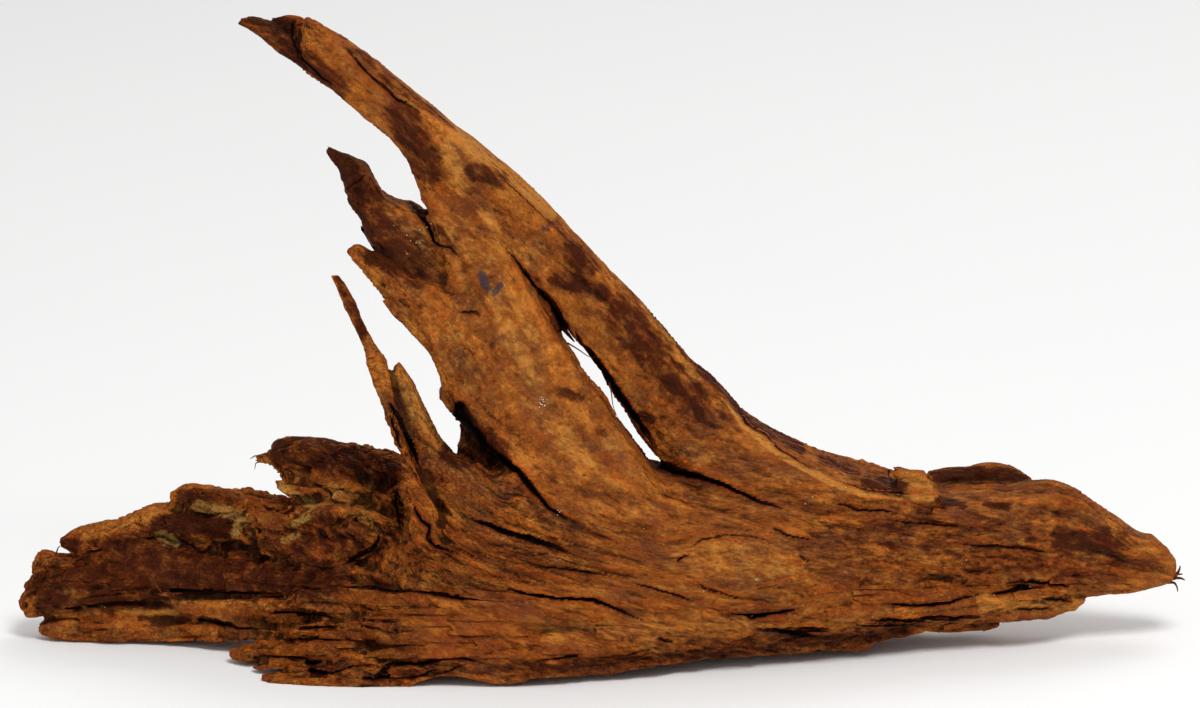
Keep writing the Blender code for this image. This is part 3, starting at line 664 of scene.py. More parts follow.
class GrainField:
    """Which way the fibres run at each drawn point, and coordinates that follow them.

    The direction is the mean of the strokes' directions, weighted by length^(1/2) / (distance^2 + reach^2)^2.
    The coordinates are two surfaces over the picture, fitted by least squares: one rises by 1 along the
    fibres and is level across them, the other is level along them and rises by 1 across.
    """

    def __init__(self, strokes: tuple, step: float = 3.0, reach: float = 4.0) -> None:
        """Works out the field on a grid that covers the drawing.

        Args:
            strokes: polylines along the fibres.
            step: grid step in millimetres.
            reach: distance within which a stroke rules.
        """
        self.step = step
        self.size = (round(FIELD_HEIGHT / step), round(FIELD_WIDTH / step))
        rows, columns = np.mgrid[0 : self.size[0], 0 : self.size[1]]
        nodes = np.column_stack([columns.ravel(), rows.ravel()]) * step + FIELD_LOW
        starts = np.vstack([drawn_line(stroke)[:-1] for stroke in strokes])
        ends = np.vstack([drawn_line(stroke)[1:] for stroke in strokes])
        run = ends - starts
        length = np.linalg.norm(run, axis=1)
        unit = run / length[:, None]
        offset = nodes[:, None, :] - starts[None]
        along = np.clip((offset * unit[None]).sum(-1), 0.0, length[None])
        gap = ((offset - along[..., None] * unit[None]) ** 2).sum(-1)
        weight = (length[None] ** 0.5) / (gap + reach**2) ** 2
        flow = weight @ unit
        self.flow = (flow / np.linalg.norm(flow, axis=1)[:, None]).reshape(*self.size, 2)
        cell = (self.flow[:-1, :-1] + self.flow[1:, :-1] + self.flow[:-1, 1:] + self.flow[1:, 1:]) / 4
        cell /= np.linalg.norm(cell, axis=2)[..., None]
        first = self.fit(cell, along=1.0, across=0.0, along_weight=0.4)
        second = self.fit(cell, along=0.0, across=-1.0, along_weight=4.0)
        self.charts = np.stack([first, second], axis=-1)

    def slopes(self, surface: np.ndarray) -> tuple[np.ndarray, np.ndarray]:
        """Slope of a surface across and up in each grid cell."""
        right = (surface[:-1, 1:] - surface[:-1, :-1] + surface[1:, 1:] - surface[1:, :-1]) / (2 * self.step)
        up = (surface[1:, :-1] - surface[:-1, :-1] + surface[1:, 1:] - surface[:-1, 1:]) / (2 * self.step)
        return right, up

    def spread(self, right: np.ndarray, up: np.ndarray) -> np.ndarray:
        """The transpose of slopes: what each grid node gets from the cells around it."""
        total = np.zeros(self.size)
        total[:-1, 1:] += right - up
        total[:-1, :-1] += -right - up
        total[1:, 1:] += right + up
        total[1:, :-1] += up - right
        return total / (2 * self.step)

    def fit(self, cell: np.ndarray, along: float, across: float, along_weight: float) -> np.ndarray:
        """The surface whose slopes along and across the fibres come nearest to two numbers.

        It is found by conjugate gradients.

        Args:
            cell: direction of the fibres in each grid cell.
            along: wanted slope along the fibres.
            across: wanted slope across them, to the left of their run.
            along_weight: how much the first counts beside the second.

        Returns:
            The surface at the grid nodes.
        """
        dx, dy = cell[..., 0], cell[..., 1]

        def normal(surface: np.ndarray) -> np.ndarray:
            """The least-squares operator on a surface."""
            right, up = self.slopes(surface)
            first = along_weight * (right * dx + up * dy)
            second = up * dx - right * dy
            return self.spread(first * dx - second * dy, first * dy + second * dx)

        goal = self.spread(along_weight * along * dx - across * dy, along_weight * along * dy + across * dx)
        surface = np.zeros(self.size)
        rest = goal - normal(surface)
        search = rest.copy()
        power = float((rest * rest).sum())
        for _ in range(FIT_TURNS):
            image = normal(search)
            move = power / float((search * image).sum())
            surface += move * search
            rest -= move * image
            next_power = float((rest * rest).sum())
            if next_power < FIT_ERROR:
                break
            search = rest + next_power / power * search
            power = next_power
        return surface

    def sampled(self, grid: np.ndarray, drawn: np.ndarray) -> np.ndarray:
        """Values of a grid at drawn points, by bilinear interpolation."""
        place = (drawn - FIELD_LOW) / self.step
        limit = np.array([self.size[1] - 1.001, self.size[0] - 1.001])
        place = np.clip(place, 0.0, limit)
        corner = place.astype(int)
        part = place - corner
        column, row = corner[:, 0], corner[:, 1]
        left, right = 1 - part[:, 0:1], part[:, 0:1]
        low, high = 1 - part[:, 1:2], part[:, 1:2]
        below = grid[row, column] * left + grid[row, column + 1] * right
        above = grid[row + 1, column] * left + grid[row + 1, column + 1] * right
        return below * low + above * high

    def direction(self, drawn: np.ndarray) -> np.ndarray:
        """Unit direction of the fibres at drawn points."""
        found = self.sampled(self.flow, drawn)
        return found / np.linalg.norm(found, axis=1)[:, None]

    def grain(self, points: np.ndarray) -> np.ndarray:
        """Coordinates of points in space that follow the fibres: along, across and depth, in millimetres."""
        return np.column_stack([self.sampled(self.charts, SIGHT.drawn(points)), points[:, 1]])

    def trace(self, starts: np.ndarray, step: float, count: int) -> np.ndarray:
        """Paths that follow the fibres from some drawn points.

        Args:
            starts: a row for each path.
            step: distance between the points of a path.
            count: points in a path.

        Returns:
            An array of path, point and two coordinates.
        """
        paths = [starts]
        for _ in range(count - 1):
            paths.append(paths[-1] + step * self.direction(paths[-1]))
        return np.stack(paths, axis=1)


class Side(Enum):
    """Which side of the wood a depth map is read from. The value is the sign of the way out."""

    FRONT = -1
    BACK = 1


class DepthMap:
    """Depth of the outermost wood at each drawn point, read from one side."""

    def __init__(self, points: np.ndarray, side: Side, step: float = 1.5) -> None:
        """Sorts a mesh's points into the map's cells.

        Args:
            points: rows of x, y, z.
            side: the side that the wood is seen from.
            step: size of a cell.
        """
        self.side = side
        self.step = step
        self.size = (round(FIELD_HEIGHT / step), round(FIELD_WIDTH / step))
        row, column = self.cells(SIGHT.drawn(points))
        outer = np.full(self.size, np.inf)
        np.minimum.at(outer, (row, column), points[:, 1] * -side.value)
        for _ in range(2):
            around = np.stack([np.roll(outer, shift, axis) for shift in (1, -1) for axis in (0, 1)])
            known = np.isfinite(around).sum(0)
            filled = np.where(np.isfinite(around), around, 0.0).sum(0) / np.maximum(1, known)
            outer = np.where(~np.isfinite(outer) & (known >= 3), filled, outer)
        self.outer = outer
        self.spread: np.ndarray | None = None

    def cells(self, drawn: np.ndarray) -> tuple[np.ndarray, np.ndarray]:
        """Row and column of the cell that each drawn point is in."""
        place = ((drawn - FIELD_LOW) / self.step).astype(int)
        return np.clip(place[:, 1], 0, self.size[0] - 1), np.clip(place[:, 0], 0, self.size[1] - 1)

    def depth(self, drawn: np.ndarray) -> np.ndarray:
        """Depth of the outermost wood at drawn points, infinite where there is none."""
        return self.outer[self.cells(drawn)] * -self.side.value

    def smooth_depth(self, drawn: np.ndarray) -> np.ndarray:
        """Depth between the middles of cells, kept up to three cells past the wood's edge."""
        if self.spread is None:
            known = np.isfinite(self.outer)
            values, weight = np.where(known, self.outer, 0.0), known.astype(float)
            for _ in range(3):
                values = values + sum(np.roll(values, shift, axis) for shift in (1, -1) for axis in (0, 1))
                weight = weight + sum(np.roll(weight, shift, axis) for shift in (1, -1) for axis in (0, 1))
            values = np.where(weight > 0, values / np.maximum(weight, 1e-9), np.inf)
            self.spread = np.where(known, self.outer, values)
        place = (drawn - FIELD_LOW) / self.step - 0.5
        corner = np.floor(place).astype(int)
        part = place - corner
        total = np.zeros(len(drawn))
        for right, up in itertools.product((0, 1), repeat=2):
            row = np.clip(corner[:, 1] + up, 0, self.size[0] - 1)
            column = np.clip(corner[:, 0] + right, 0, self.size[1] - 1)
            share = np.abs(1 - right - part[:, 0]) * np.abs(1 - up - part[:, 1])
            total += share * self.spread[row, column]
        return total * -self.side.value

    def shown(self, points: np.ndarray, soft: float = 4.0) -> np.ndarray:
        """1 where a point in space is the outermost one, falling to 0 where it lies 1.5 soft deeper."""
        buried = (points[:, 1] - self.depth(SIGHT.drawn(points))) * -self.side.value
        return 1.0 - smooth_step(0.5 * soft, 1.5 * soft, np.nan_to_num(buried, posinf=0.0, neginf=0.0))


class Opening(Enum):
    """Where a crack is widest."""

    MIDDLE = 0
    START = 1
    END = 2


@dataclass(frozen=True)
class Crack:
    """A split along a drawn line.

    One side may stand higher: the left of the line's run for a positive step, the right for a negative one.
    """

    line: tuple
    half_width: float = 0.9
    depth: float = 3.0
    step: float = 0.0
    opening: Opening = Opening.MIDDLE

    def reach(self, drawn: np.ndarray) -> tuple[np.ndarray, np.ndarray]:
        """How far drawn points lie from the line, and how far along it.

        Args:
            drawn: rows of across and up.

        Returns:
            Distance, positive to the left of the line's run, and the share of its length passed, 0 to 1.
        """
        points = drawn_line(self.line)
        run = np.diff(points, axis=0)
        length = np.linalg.norm(run, axis=1)
        passed = np.concatenate([[0.0], np.cumsum(length)])
        unit = run / length[:, None]
        offset = drawn[:, None, :] - points[None, :-1]
        along = np.clip((offset * unit[None]).sum(-1), 0.0, length[None])
        apart = offset - along[..., None] * unit[None]
        gap = np.linalg.norm(apart, axis=-1)
        nearest = gap.argmin(axis=1)
        rows = np.arange(len(drawn))
        turn = unit[nearest, 0] * offset[rows, nearest, 1] - unit[nearest, 1] * offset[rows, nearest, 0]
        share = (passed[nearest] + along[rows, nearest]) / passed[-1]
        return np.where(turn < 0, -1.0, 1.0) * gap[rows, nearest], share

    def taper(self, share: np.ndarray) -> np.ndarray:
        """How open the crack is along its length: 1 in the middle, 0 at a closed end."""
        if self.opening is Opening.END:
            return np.clip(share, 0.0, 1.0)
        if self.opening is Opening.START:
            return np.clip(1.0 - share, 0.0, 1.0) ** 0.7
        return smooth_step(0.0, 0.25, share) * (1.0 - smooth_step(0.6, 1.0, share))


@dataclass(frozen=True)
class Patch:
    """A stain, a patch of painted shade or highlight, or a rise along a drawn line, full within 0.4 of its
    radius and gone at 1.9 of it.
    """

    line: tuple
    radius: float
    strength: float = 1.0

    def cover(self, drawn: np.ndarray) -> np.ndarray:
        """How much of the patch lies on each drawn point, 0 to strength."""
        points = drawn_line(self.line)
        run = np.diff(points, axis=0)
        square = np.maximum((run**2).sum(1), 1e-9)
        offset = drawn[:, None, :] - points[None, :-1]
        share = np.clip((offset * run[None]).sum(-1) / square[None], 0.0, 1.0)
        gap = np.linalg.norm(offset - share[..., None] * run[None], axis=-1).min(axis=1)
        return self.strength * (1.0 - smooth_step(0.4 * self.radius, 1.9 * self.radius, gap))


# Splits that the photo shows, drawn from their left or upper end.
CRACKS = tuple(itertools.starmap(Crack, (
    ((-41, 189.5, -35, 182, -28, 172.7, -20, 163.5, -15.5, 154), 1.2, 8, 0, Opening.END),
    ((-12, 155.5, -8.7, 147.5, -1.5, 139.5, 4.5, 131.5, 12.8, 119, 19, 109.5, 23.5, 103, 28, 97), 1.2, 8),
    ((24, 96.3, 31.5, 92.8, 46.5, 89.4, 58, 84.8, 69.5, 79, 81, 76), 1.3, 6, 1.2, Opening.START),
    (
        (-61, 120, -56, 112, -49.5, 103.5, -35.3, 92.8, -28.4, 83.6, -21.5, 76.7, -12.3, 71),
        2, 9, 1, Opening.START,
    ),
    ((-58.4, 72, -48, 69.8, -39.9, 66.3, -21.5, 60.6, -11, 57), 0.85, 4, 0.8),
    ((-82, 80, -76.8, 71, -73.3, 68.6, -74.5, 64, -71, 60.6, -57, 54.8), 0.5, 3, 0.5),
    ((-91.4, 124.5, -86.6, 116, -83, 108.2, -79.4, 99, -75.8, 89), 1, 5),
    ((-90.9, 118.5, -87.8, 109.4, -84.2, 99.2), 0.4, 2),
    ((-60, 117, -54, 109, -47, 101), 3, 4, 0, Opening.START),
    ((-88, 84, -87, 73, -86, 68, -84, 65), 1.1, 4, 0, Opening.START),
    ((-86, 42, -74.5, 40.4, -59.5, 38, -42, 37.6, -28.4, 36.4), 0.5, 3, -0.6),
    ((-45.7, 43.3, -30.7, 40, -17, 38, -3, 37.6, 6, 34, 15.4, 30, 24.6, 26), 0.55, 3, 0.9),
    ((46.5, 34, 62.6, 31.2, 75.3, 31.8, 89, 34.7), 0.6, 3, 0.8), ((62, 30.6, 68.5, 31, 75, 32.2), 1.1, 5),
    ((120, 37, 132.7, 34.8, 146.5, 35.4, 160, 38.8, 169.6, 40.6), 0.42, 3, 0.8),
    ((-61.9, 161, -57.7, 161.3, -53.4, 160.7, -50.1, 157.7), 0.22, 1, -1),
    ((-81, 208, -74, 199, -71, 191, -64, 189, -59.4, 183), 0.8, 3, 1.4, Opening.START),
    ((33, 53, 35, 55.5, 38.5, 57), 0.25, 1.2), ((84, 57.5, 88, 55, 94, 53.5), 0.2, 1),
    ((71.8, 69.8, 81, 65.2, 94.6, 61.7), 0.3, 1.2, 0.9),
    ((-184, 41.2, -165, 40.6, -150, 40.2, -136, 39.9), 0.8, 5, 0, Opening.START),
    ((-139.3, 32, -121, 31.2, -114, 29.9, -107, 28.5), 0.8, 5, 0, Opening.START),
    ((-129, 25, -121, 25.6, -115, 25, -109, 24), 0.5, 3, 0, Opening.START),
    ((-172, 29, -155, 25.6, -133, 24.2), 0.5, 3, 0.5, Opening.START), ((-104, 26.6, -95, 24.6), 0.3, 1.5),
    ((-133, 20.4, -116, 20.8, -98, 19.4), 0.45, 2.5, -0.4, Opening.START),
    ((-138, 14.4, -128, 12.4, -119, 9.8), 0.5, 3, 0, Opening.START),
    ((-84, 3.5, -75, 5.6, -67, 9), 0.3, 1.5, 0.3), ((-76, 4, -66, 6.2, -55, 11.4), 0.25, 1.2, 0.3),
    ((34, 57, 44, 63.5, 57, 65.5, 70, 64, 82, 58), 0.2, 0.9, -0.6),
    ((37, 49, 45, 42.6, 58, 38.8, 71, 37.6), 0.2, 0.9, 0.5),
    ((-148.3, 12.3, -136.3, 12.9, -130.8, 11.1), 0.4, 2, 0, Opening.START),
    ((-127.8, 10.2, -122, 10.6, -118.8, 10.5), 0.7, 4),
    ((-124.2, 6.9, -116.3, 6, -103.1, 9.3, -96.4, 9.9), 0.8, 5, 0, Opening.START),
    ((-103.7, 2.7, -96, 5, -86.8, 11.7), 0.6, 4), ((-98.2, 3.9, -91, 4.5, -85.6, 5.7), 0.4, 3),
    ((-107.3, 42.8, -97.6, 43.1, -89.2, 41, -76.5, 41.3, -69.3, 39.7), 0.5, 3, 0.8),
    ((-211.9, 64.6, -201.4, 64.3, -192.2, 64.3, -186.9, 60.7), 0.3, 2, 1),
    ((-184, 64, -179, 62.6, -169.8, 58, -165.9, 57), 0.25, 1.5, 1),
    ((152, 43, 164, 44.6, 181, 45.2, 198, 44, 212, 40.6), 0.42, 3, 0.6),
    ((168.4, 39.4, 181, 42.3, 192.6, 41.7), 0.8, 4),
    ((112, 28.6, 135, 28.6, 158, 29.6, 173, 30.2), 0.5, 3, 0.6),
    ((106, 26, 128, 26.4, 150, 26.8), 0.3, 1.5, 0.4), ((188, 38.6, 198, 37.2, 206, 36), 0.3, 1.5, 0.4),
    ((176, 33.6, 188, 33.4, 200, 34), 0.25, 1.2, 0.3), ((66, 24.5, 80, 24, 104, 24), 0.6, 3),
    ((-95.6, 68.7, -95, 63, -99, 58.4, -108, 53.8, -116, 52, -125.5, 55), 0.7, 3, 1.2),
    ((18, 167, 24, 159, 31, 150, 38, 140.5, 43.5, 133), 0.3, 1, -1.4),
    ((52, 130, 57, 123.5, 63, 113.5, 71, 108.5, 78, 102, 90, 94, 101, 89.5), 0.35, 1.2, -1.6),
    ((99, 90, 115, 84.5, 130, 83.5, 142, 82.5), 0.3, 1.2, -1.2),
    ((-113, 279, -101, 265, -88, 253, -68, 242), 0.35, 1.2, -1.4),
    ((-96, 268, -82, 256, -66, 243, -52, 231), 0.22, 0.9, -0.7),
    ((-54, 229, -40, 217, -25, 203, -10, 189, 4, 175), 0.22, 0.9, -1),
    ((-127.5, 290, -132, 285, -132.5, 279, -128, 270, -110, 254), 0.4, 1.5),
    ((-112, 213, -105, 216.5, -99, 222.5), 0.22, 1, -1.3),
    ((124.3, 93, 124.6, 89, 126.5, 84.5), 0.5, 3, 0, Opening.START),
    ((-98, 10, -80, 9.5, -62, 13, -46, 9.5), 0.6, 3, 0.5),
    ((-34, 10, -14, 13, 8, 13.5, 24, 16.4, 34, 16), 0.35, 1.5, 0.4),
    ((24, 21, 28.2, 19.4, 33, 19), 0.4, 1.5), ((72, 24.5, 76.7, 23.8, 84, 22.2, 96, 21.6), 0.8, 3),
    ((9.6, 45.8, 20, 43, 34, 39, 46, 35), 0.25, 1.2, 0.4), ((-30, 52, -8, 50, 12, 46), 0.3, 1.2),
    ((120, 72, 140, 70, 162, 69), 0.3, 1.2, 0.5), ((150, 62, 176, 60, 204, 57), 0.3, 1.2, 0.5),
    ((96, 80, 112, 76, 134, 75), 0.3, 1.2, 0.6),
)))

# Stains, crusts and worn places that the photo shows, and patches of painted shade and painted highlights.
# Dark stains; the patches in the fork behind the web and on the wing's wall beside the slit are painted
# shade.
DARK_STAINS_AND_SHADE = tuple(itertools.starmap(Patch, (
    ((-86, 246, -80, 234, -74, 222), 7, 0.72), ((-12, 187, -5, 180), 4.6, 0.75),
    ((-19, 175, -6, 173, 2, 169), 3.5, 0.8), ((8, 164, 18, 155, 28, 145), 4.5, 0.75),
    ((12, 158, 30, 136, 46, 116), 9, 0.6), ((25, 161, 33, 151, 40, 141, 46, 133), 1.6, 0.9),
    ((48, 133, 56, 125, 66, 114, 75, 109, 86, 103), 2.4), ((96, 98, 110, 92), 2.4, 0.8),
    ((-188, 68, -172, 71, -160, 68), 5), ((-230, 62, -226, 61), 2.5), ((-70, 196, -64, 188), 2.5, 0.7),
    ((-118, 232, -110, 223, -104, 216), 5, 0.95), ((-104, 208, -94, 196, -80, 184), 11, 0.72),
    ((-108, 279, -96, 267, -84, 257, -72, 249), 4, 0.5),
    ((-154, 287, -142, 281, -128, 270, -112, 257), 4.5, 0.7), ((-140, 287, -134, 283), 3.5, 1),
    ((-54, 222, -44, 218), 4, 0.8), ((-17, 127, -9, 124), 2.2, 0.7), ((199, 64, 220, 61), 6, 0.8),
    ((-100, 4, -60, 8, -20, 8.5, 20, 11.5, 60, 16, 100, 20, 130, 24), 2.6, 0.62),
    ((146, 80, 156, 78), 2.2, 0.75), ((166, 79, 175, 77), 1.8, 0.7), ((-60, 48, 0, 60, 50, 72), 20, 0.3),
    ((-50, 24, 20, 24, 90, 34), 13, 0.28), ((-150, 6, -110, 5, -70, 8), 5, 0.35),
    ((60, 92, 90, 78, 110, 66), 12, 0.35), ((-240, 35, -215, 36, -190, 37), 4, 0.75),
    ((-60, 116, -53, 108, -44, 100), 5, 1), ((18, 117, 22, 115), 2, 1),
    ((30, 133, 36, 126, 43, 118), 2.2, 0.9), ((-97, 186, -88, 184), 4),
    ((-112, 176, -106, 163, -102, 152), 2.5, 0.7), ((-240, 44, -200, 48, -160, 48, -118, 46), 9, 0.75),
    ((-120, 64, -104, 60), 5, 0.6), ((-136, 102, -112, 99, -92, 93), 8, 0.72),
    ((-126, 70, -112, 64, -100, 66), 9, 0.55), ((-215, 58, -190, 60, -160, 58, -130, 60), 7, 0.6),
    ((-178, 82, -160, 80), 4, 0.6), ((100, 66, 160, 64, 215, 58), 15, 0.48), ((116, 88, 128, 86), 4, 0.9),
    ((144, 91, 160, 92, 182, 91), 3, 0.9), ((100, 50, 130, 47, 160, 52), 7, 0.4),
    ((48, 112, 62, 100), 4, 0.4), ((-52, 60, -30, 55), 4, 0.4), ((-64, 101, -58, 98), 4),
)))
GREY_STAINS = tuple(itertools.starmap(Patch, (
    ((-50.5, 177, -48.5, 171), 1.6, 0.9), ((-45.5, 169.5, -42.5, 173), 1.2, 0.9),
    ((-24, 197, -20, 199), 1.4, 0.6),
)))
PALE_CRUSTS = tuple(itertools.starmap(Patch, (
    ((-173, 78, -162, 76, -152, 72), 2.2), ((-153, 74, -157, 66), 2, 0.9),
    ((-190, 65, -182, 62.5), 2.4, 0.6), ((-132, 70, -126, 73), 1.6, 0.9), ((-136, 63, -130, 66), 1.3, 0.8),
    ((-139, 87, -131, 83, -124, 78), 2, 0.9), ((-114, 84, -106, 80, -100, 75), 4.5, 0.55),
    ((-86, 206, -80, 198, -74, 192), 6, 0.3), ((-62, 154, -54, 140), 5, 0.3), ((60, 53, 76, 50), 6, 0.3),
    ((188, 35, 206, 35.5), 2.4, 0.4),
)))
# Worn ochre places; the lines along the outer rims of the horn and wing are painted highlights.
BRIGHT_RUBS_AND_HIGHLIGHTS = tuple(itertools.starmap(Patch, (
    ((-62, 238, -46, 224, -22, 204), 3.2, 0.9), ((-66, 232, -60, 215), 3, 0.7),
    ((-50, 204, -45, 198), 2.4, 0.6), ((-42, 176, -35, 162, -28, 148), 1.8, 0.5),
    ((-46, 168, -38, 150, -28, 132), 3, 0.6), ((19, 164.5, 30, 149.5, 42, 132.5), 1.2, 1.2),
    ((50.5, 130, 61.5, 113, 76.5, 100.5, 100, 87.5), 1.2, 1.2), ((100, 87.5, 115, 82.5, 142, 81), 1.1, 1),
    ((-237, 32, -205, 33, -182, 32), 1.6, 0.8), ((-220, 67, -200, 72, -190, 76), 3.5, 0.6),
    ((-125, 15, -90, 16), 2.5, 0.35), ((36, 53, 60, 55, 86, 52), 9, 0.32),
    ((-88, 137, -79, 119, -71, 104), 3.6, 0.6), ((126, 90, 142, 88), 3.6, 0.55),
    ((-70, 196, -50, 186, -30, 186), 6, 0.4), ((-20, 112, -6, 96), 5, 0.5),
    ((-198, 38.5, -170, 36, -140, 35), 1.8, 0.5), ((165, 36, 195, 36), 3, 0.7),
    ((-20, 22, 30, 22, 60, 28), 5, 0.4),
)))

# Where the wood is worn smooth, so that it has few torn layers.
CALM_PLACES = tuple(itertools.starmap(Patch, (
    ((-110, 270, -50, 214, -10, 170, 40, 120, 90, 84), 14, 0.8),
    ((-60, 196, -40, 150, -20, 110, 10, 84), 19, 0.95), ((-90, 200, -70, 170, -50, 130), 12, 0.7),
    ((20, 66, 60, 54, 100, 58), 20, 0.9), ((60, 90, 110, 74, 200, 64, 240, 54), 18, 0.85),
    ((-228, 45, -190, 52), 8, 0.5), ((-60, 22, 0, 32, 60, 40, 120, 46), 16, 0.88),
    ((-236, 32, -200, 34, -160, 34), 9, 0.6), ((110, 34, 150, 34, 200, 38), 7, 0.6),
)))

# Where the wood is torn into thick flakes.
ROUGH_PLACES = tuple(itertools.starmap(Patch, (
    ((-240, 50, -190, 62, -150, 72, -100, 86), 15, 1), ((-150, 12, -110, 18, -60, 22), 12, 0.4),
)))
KNOT = Patch(((46, 52), (76, 52)), 11.0)
SMALL_KNOT = Patch(((-48, 201), (-46, 200)), 3.0)


@dataclass(frozen=True)
class PlateZone:
    """A part of the picture that is strewn with torn plates of wood. Lengths are millimetres."""

    low: tuple
    high: tuple
    count: int
    length: tuple
    width: tuple
    lift: tuple
    side: Side = Side.FRONT


PLATE_ZONES = tuple(itertools.starmap(PlateZone, (
    ((-238, 44), (-150, 74), 26, (26, 70), (5.0, 15.0), (0.6, 2.0)),
    ((-244, 21), (-150, 40), 14, (40, 90), (2.0, 6.0), (0.4, 1.4)),
    ((-180, 46), (-96, 102), 36, (16, 46), (5.0, 14.0), (0.7, 2.4)),
    ((-158, 4), (-60, 46), 60, (24, 70), (2.0, 6.0), (0.6, 2.4)),
    ((-60, 12), (60, 40), 22, (24, 70), (2.5, 7.0), (0.4, 1.2)),
    ((60, 22), (200, 46), 34, (24, 70), (1.8, 5.0), (0.5, 1.6)),
    ((90, 50), (225, 84), 10, (20, 60), (3.0, 9.0), (0.2, 0.6)),
    ((-104, 2), (64, 16), 22, (18, 50), (1.8, 4.0), (0.4, 1.2)),
    ((-112, 130), (-50, 225), 14, (14, 40), (2.5, 7.0), (0.3, 0.9)),
    ((-86, 52), (-20, 96), 12, (14, 44), (2.0, 6.0), (0.4, 1.2)),
    ((-238, 30), (220, 84), 46, (24, 80), (3.0, 11.0), (0.6, 2.0), Side.BACK),
    ((-110, 90), (40, 220), 14, (20, 60), (3.0, 8.0), (0.4, 1.2), Side.BACK),
)))


def slab_faces(rows: int, columns: int) -> np.ndarray:
    """Faces of a closed slab: an upper grid of points, then a lower one, and walls between their edges.

    Args:
        rows: points along.
        columns: points across.

    Returns:
        Rows of four corners.
    """
    upper = np.arange(rows * columns).reshape(rows, columns)
    lower = upper + rows * columns
    top = np.stack([upper[:-1, :-1], upper[:-1, 1:], upper[1:, 1:], upper[1:, :-1]], axis=-1).reshape(-1, 4)
    bottom = np.stack([lower[:-1, :-1], lower[1:, :-1], lower[1:, 1:], lower[:-1, 1:]], axis=-1)
    bottom = bottom.reshape(-1, 4)
    rim = np.concatenate([upper[0, :-1], upper[:-1, -1], upper[-1, :0:-1], upper[:0:-1, 0]])
    after = np.roll(rim, -1)
    walls = np.column_stack([after, rim, rim + rows * columns, after + rows * columns])
    return np.vstack([top, bottom, walls])


def terraced(level: np.ndarray, riser: float) -> np.ndarray:
    """A height cut to steps: each step is nearly flat and then rises within a share riser of its run."""
    floor = np.floor(level)
    part = level - floor
    return floor + 0.25 * part + 0.75 * smooth_step(1.0 - riser, 1.0, part) - 0.35


@dataclass(frozen=True)
class Relief:
    """Height of the weathered surface over the fused limbs, in millimetres."""

    bundles: float = 0.9
    fibres: float = 0.55
    threads: float = 0.3
    layer_step: float = 1.3
    splinter_step: float = 0.6
    dents: float = 0.5
    lumps: float = 0.45

    def height(self, grain: np.ndarray, calm: np.ndarray) -> np.ndarray:
        """Grooved bundles, |noise| stretched along the grain, with fibres and noise cut to torn steps.

        Args:
            grain: coordinates along the fibres, across them and in depth.
            calm: how worn each point is, from -1 for torn to 1 for smooth.

        Returns:
            A height for each point.
        """
        wander = 2.5 * stretched_noise(grain, 45, 28, 11)
        bent = grain + np.outer(wander, [0.0, 1.0, 0.6])
        bundles = np.minimum(np.abs(stretched_noise(bent, 110, 10, 12)) * 2.2, 1.0) - 0.55
        fibres = stretched_noise(bent, 40, 2.6, 13)
        torn = stretched_noise(bent, 60, 13, 14) + 0.5 * stretched_noise(bent, 20, 5.5, 15)
        torn += 0.22 * stretched_noise(grain, 5, 2.0, 16)
        splinters = stretched_noise(bent, 34, 4.2, 18) + 0.3 * stretched_noise(grain, 6, 1.6, 19)
        threads = 0.4 - np.abs(stretched_noise(bent, 22, 1.7, 20)) * 1.6
        dents = -smooth_step(0.65, 0.9, stretched_noise(grain, 7, 3.5, 17))
        lumps = stretched_noise(grain, 9, 6.5, 23) + 0.5 * stretched_noise(grain, 4, 3, 24)
        total = self.bundles * bundles * (1 - 0.6 * calm) + self.fibres * fibres * (1 - 0.9 * calm)
        total += self.threads * threads * (1 - 0.95 * calm) + self.lumps * lumps * (1 + 0.6 * calm)
        total += self.layer_step * terraced(np.maximum(torn * 2.4, -0.6), 0.1) * (1 - 0.8 * calm)
        total += self.splinter_step * terraced(np.maximum(splinters * 2.8, -0.6), 0.12) * (1 - 0.85 * calm)
        return total + self.dents * dents


def patch_cover(patches: tuple, drawn: np.ndarray) -> np.ndarray:
    """How much the patches cover each drawn point: the strongest of them.

    Args:
        patches: the patches.
        drawn: rows of across and up.

    Returns:
        A value for each point, 0 to 1.
    """
    total = np.zeros(len(drawn))
    for patch in patches:
        line = drawn_line(patch.line)
        margin = 2.0 * patch.radius
        near = ((drawn > line.min(0) - margin) & (drawn < line.max(0) + margin)).all(axis=1)
        total[near] = np.maximum(total[near], patch.cover(drawn[near]))
    return total


# How far a crack is looked for, the distance that says there is none, and how fast the step beside one falls.
CRACK_REACH = 24.0
NO_CRACK = 30.0
STEP_FALL = 7.0


def nearest_crack(drawn: np.ndarray, wiggle: np.ndarray) -> np.ndarray:
    """The crack that each drawn point is nearest to the edge of.

    Args:
        drawn: rows of across and up.
        wiggle: how far each point's distance is pushed, for a torn edge.

    Returns:
        Rows of distance from the crack's line, its half width there, its depth there and the step beside it.
    """
    found = np.tile([NO_CRACK, 0.0, 0.0, 0.0], (len(drawn), 1))
    for crack in CRACKS:
        line = drawn_line(crack.line)
        inside = (drawn > line.min(0) - CRACK_REACH) & (drawn < line.max(0) + CRACK_REACH)
        near = np.flatnonzero(inside.all(axis=1))
        distance, share = crack.reach(drawn[near])
        distance = distance + wiggle[near]
        open_part = crack.taper(share)
        half = crack.half_width * open_part
        closer = np.abs(distance) - half < np.abs(found[near, 0]) - found[near, 1]
        rows = near[closer]
        side = np.sign(crack.step) * distance[closer] > 0
        fall = np.exp(-np.abs(distance[closer]) / STEP_FALL)
        step = np.where(side, abs(crack.step), 0.0) * open_part[closer] * fall
        found[rows] = np.column_stack([distance[closer], half[closer], crack.depth * open_part[closer], step])
    return found


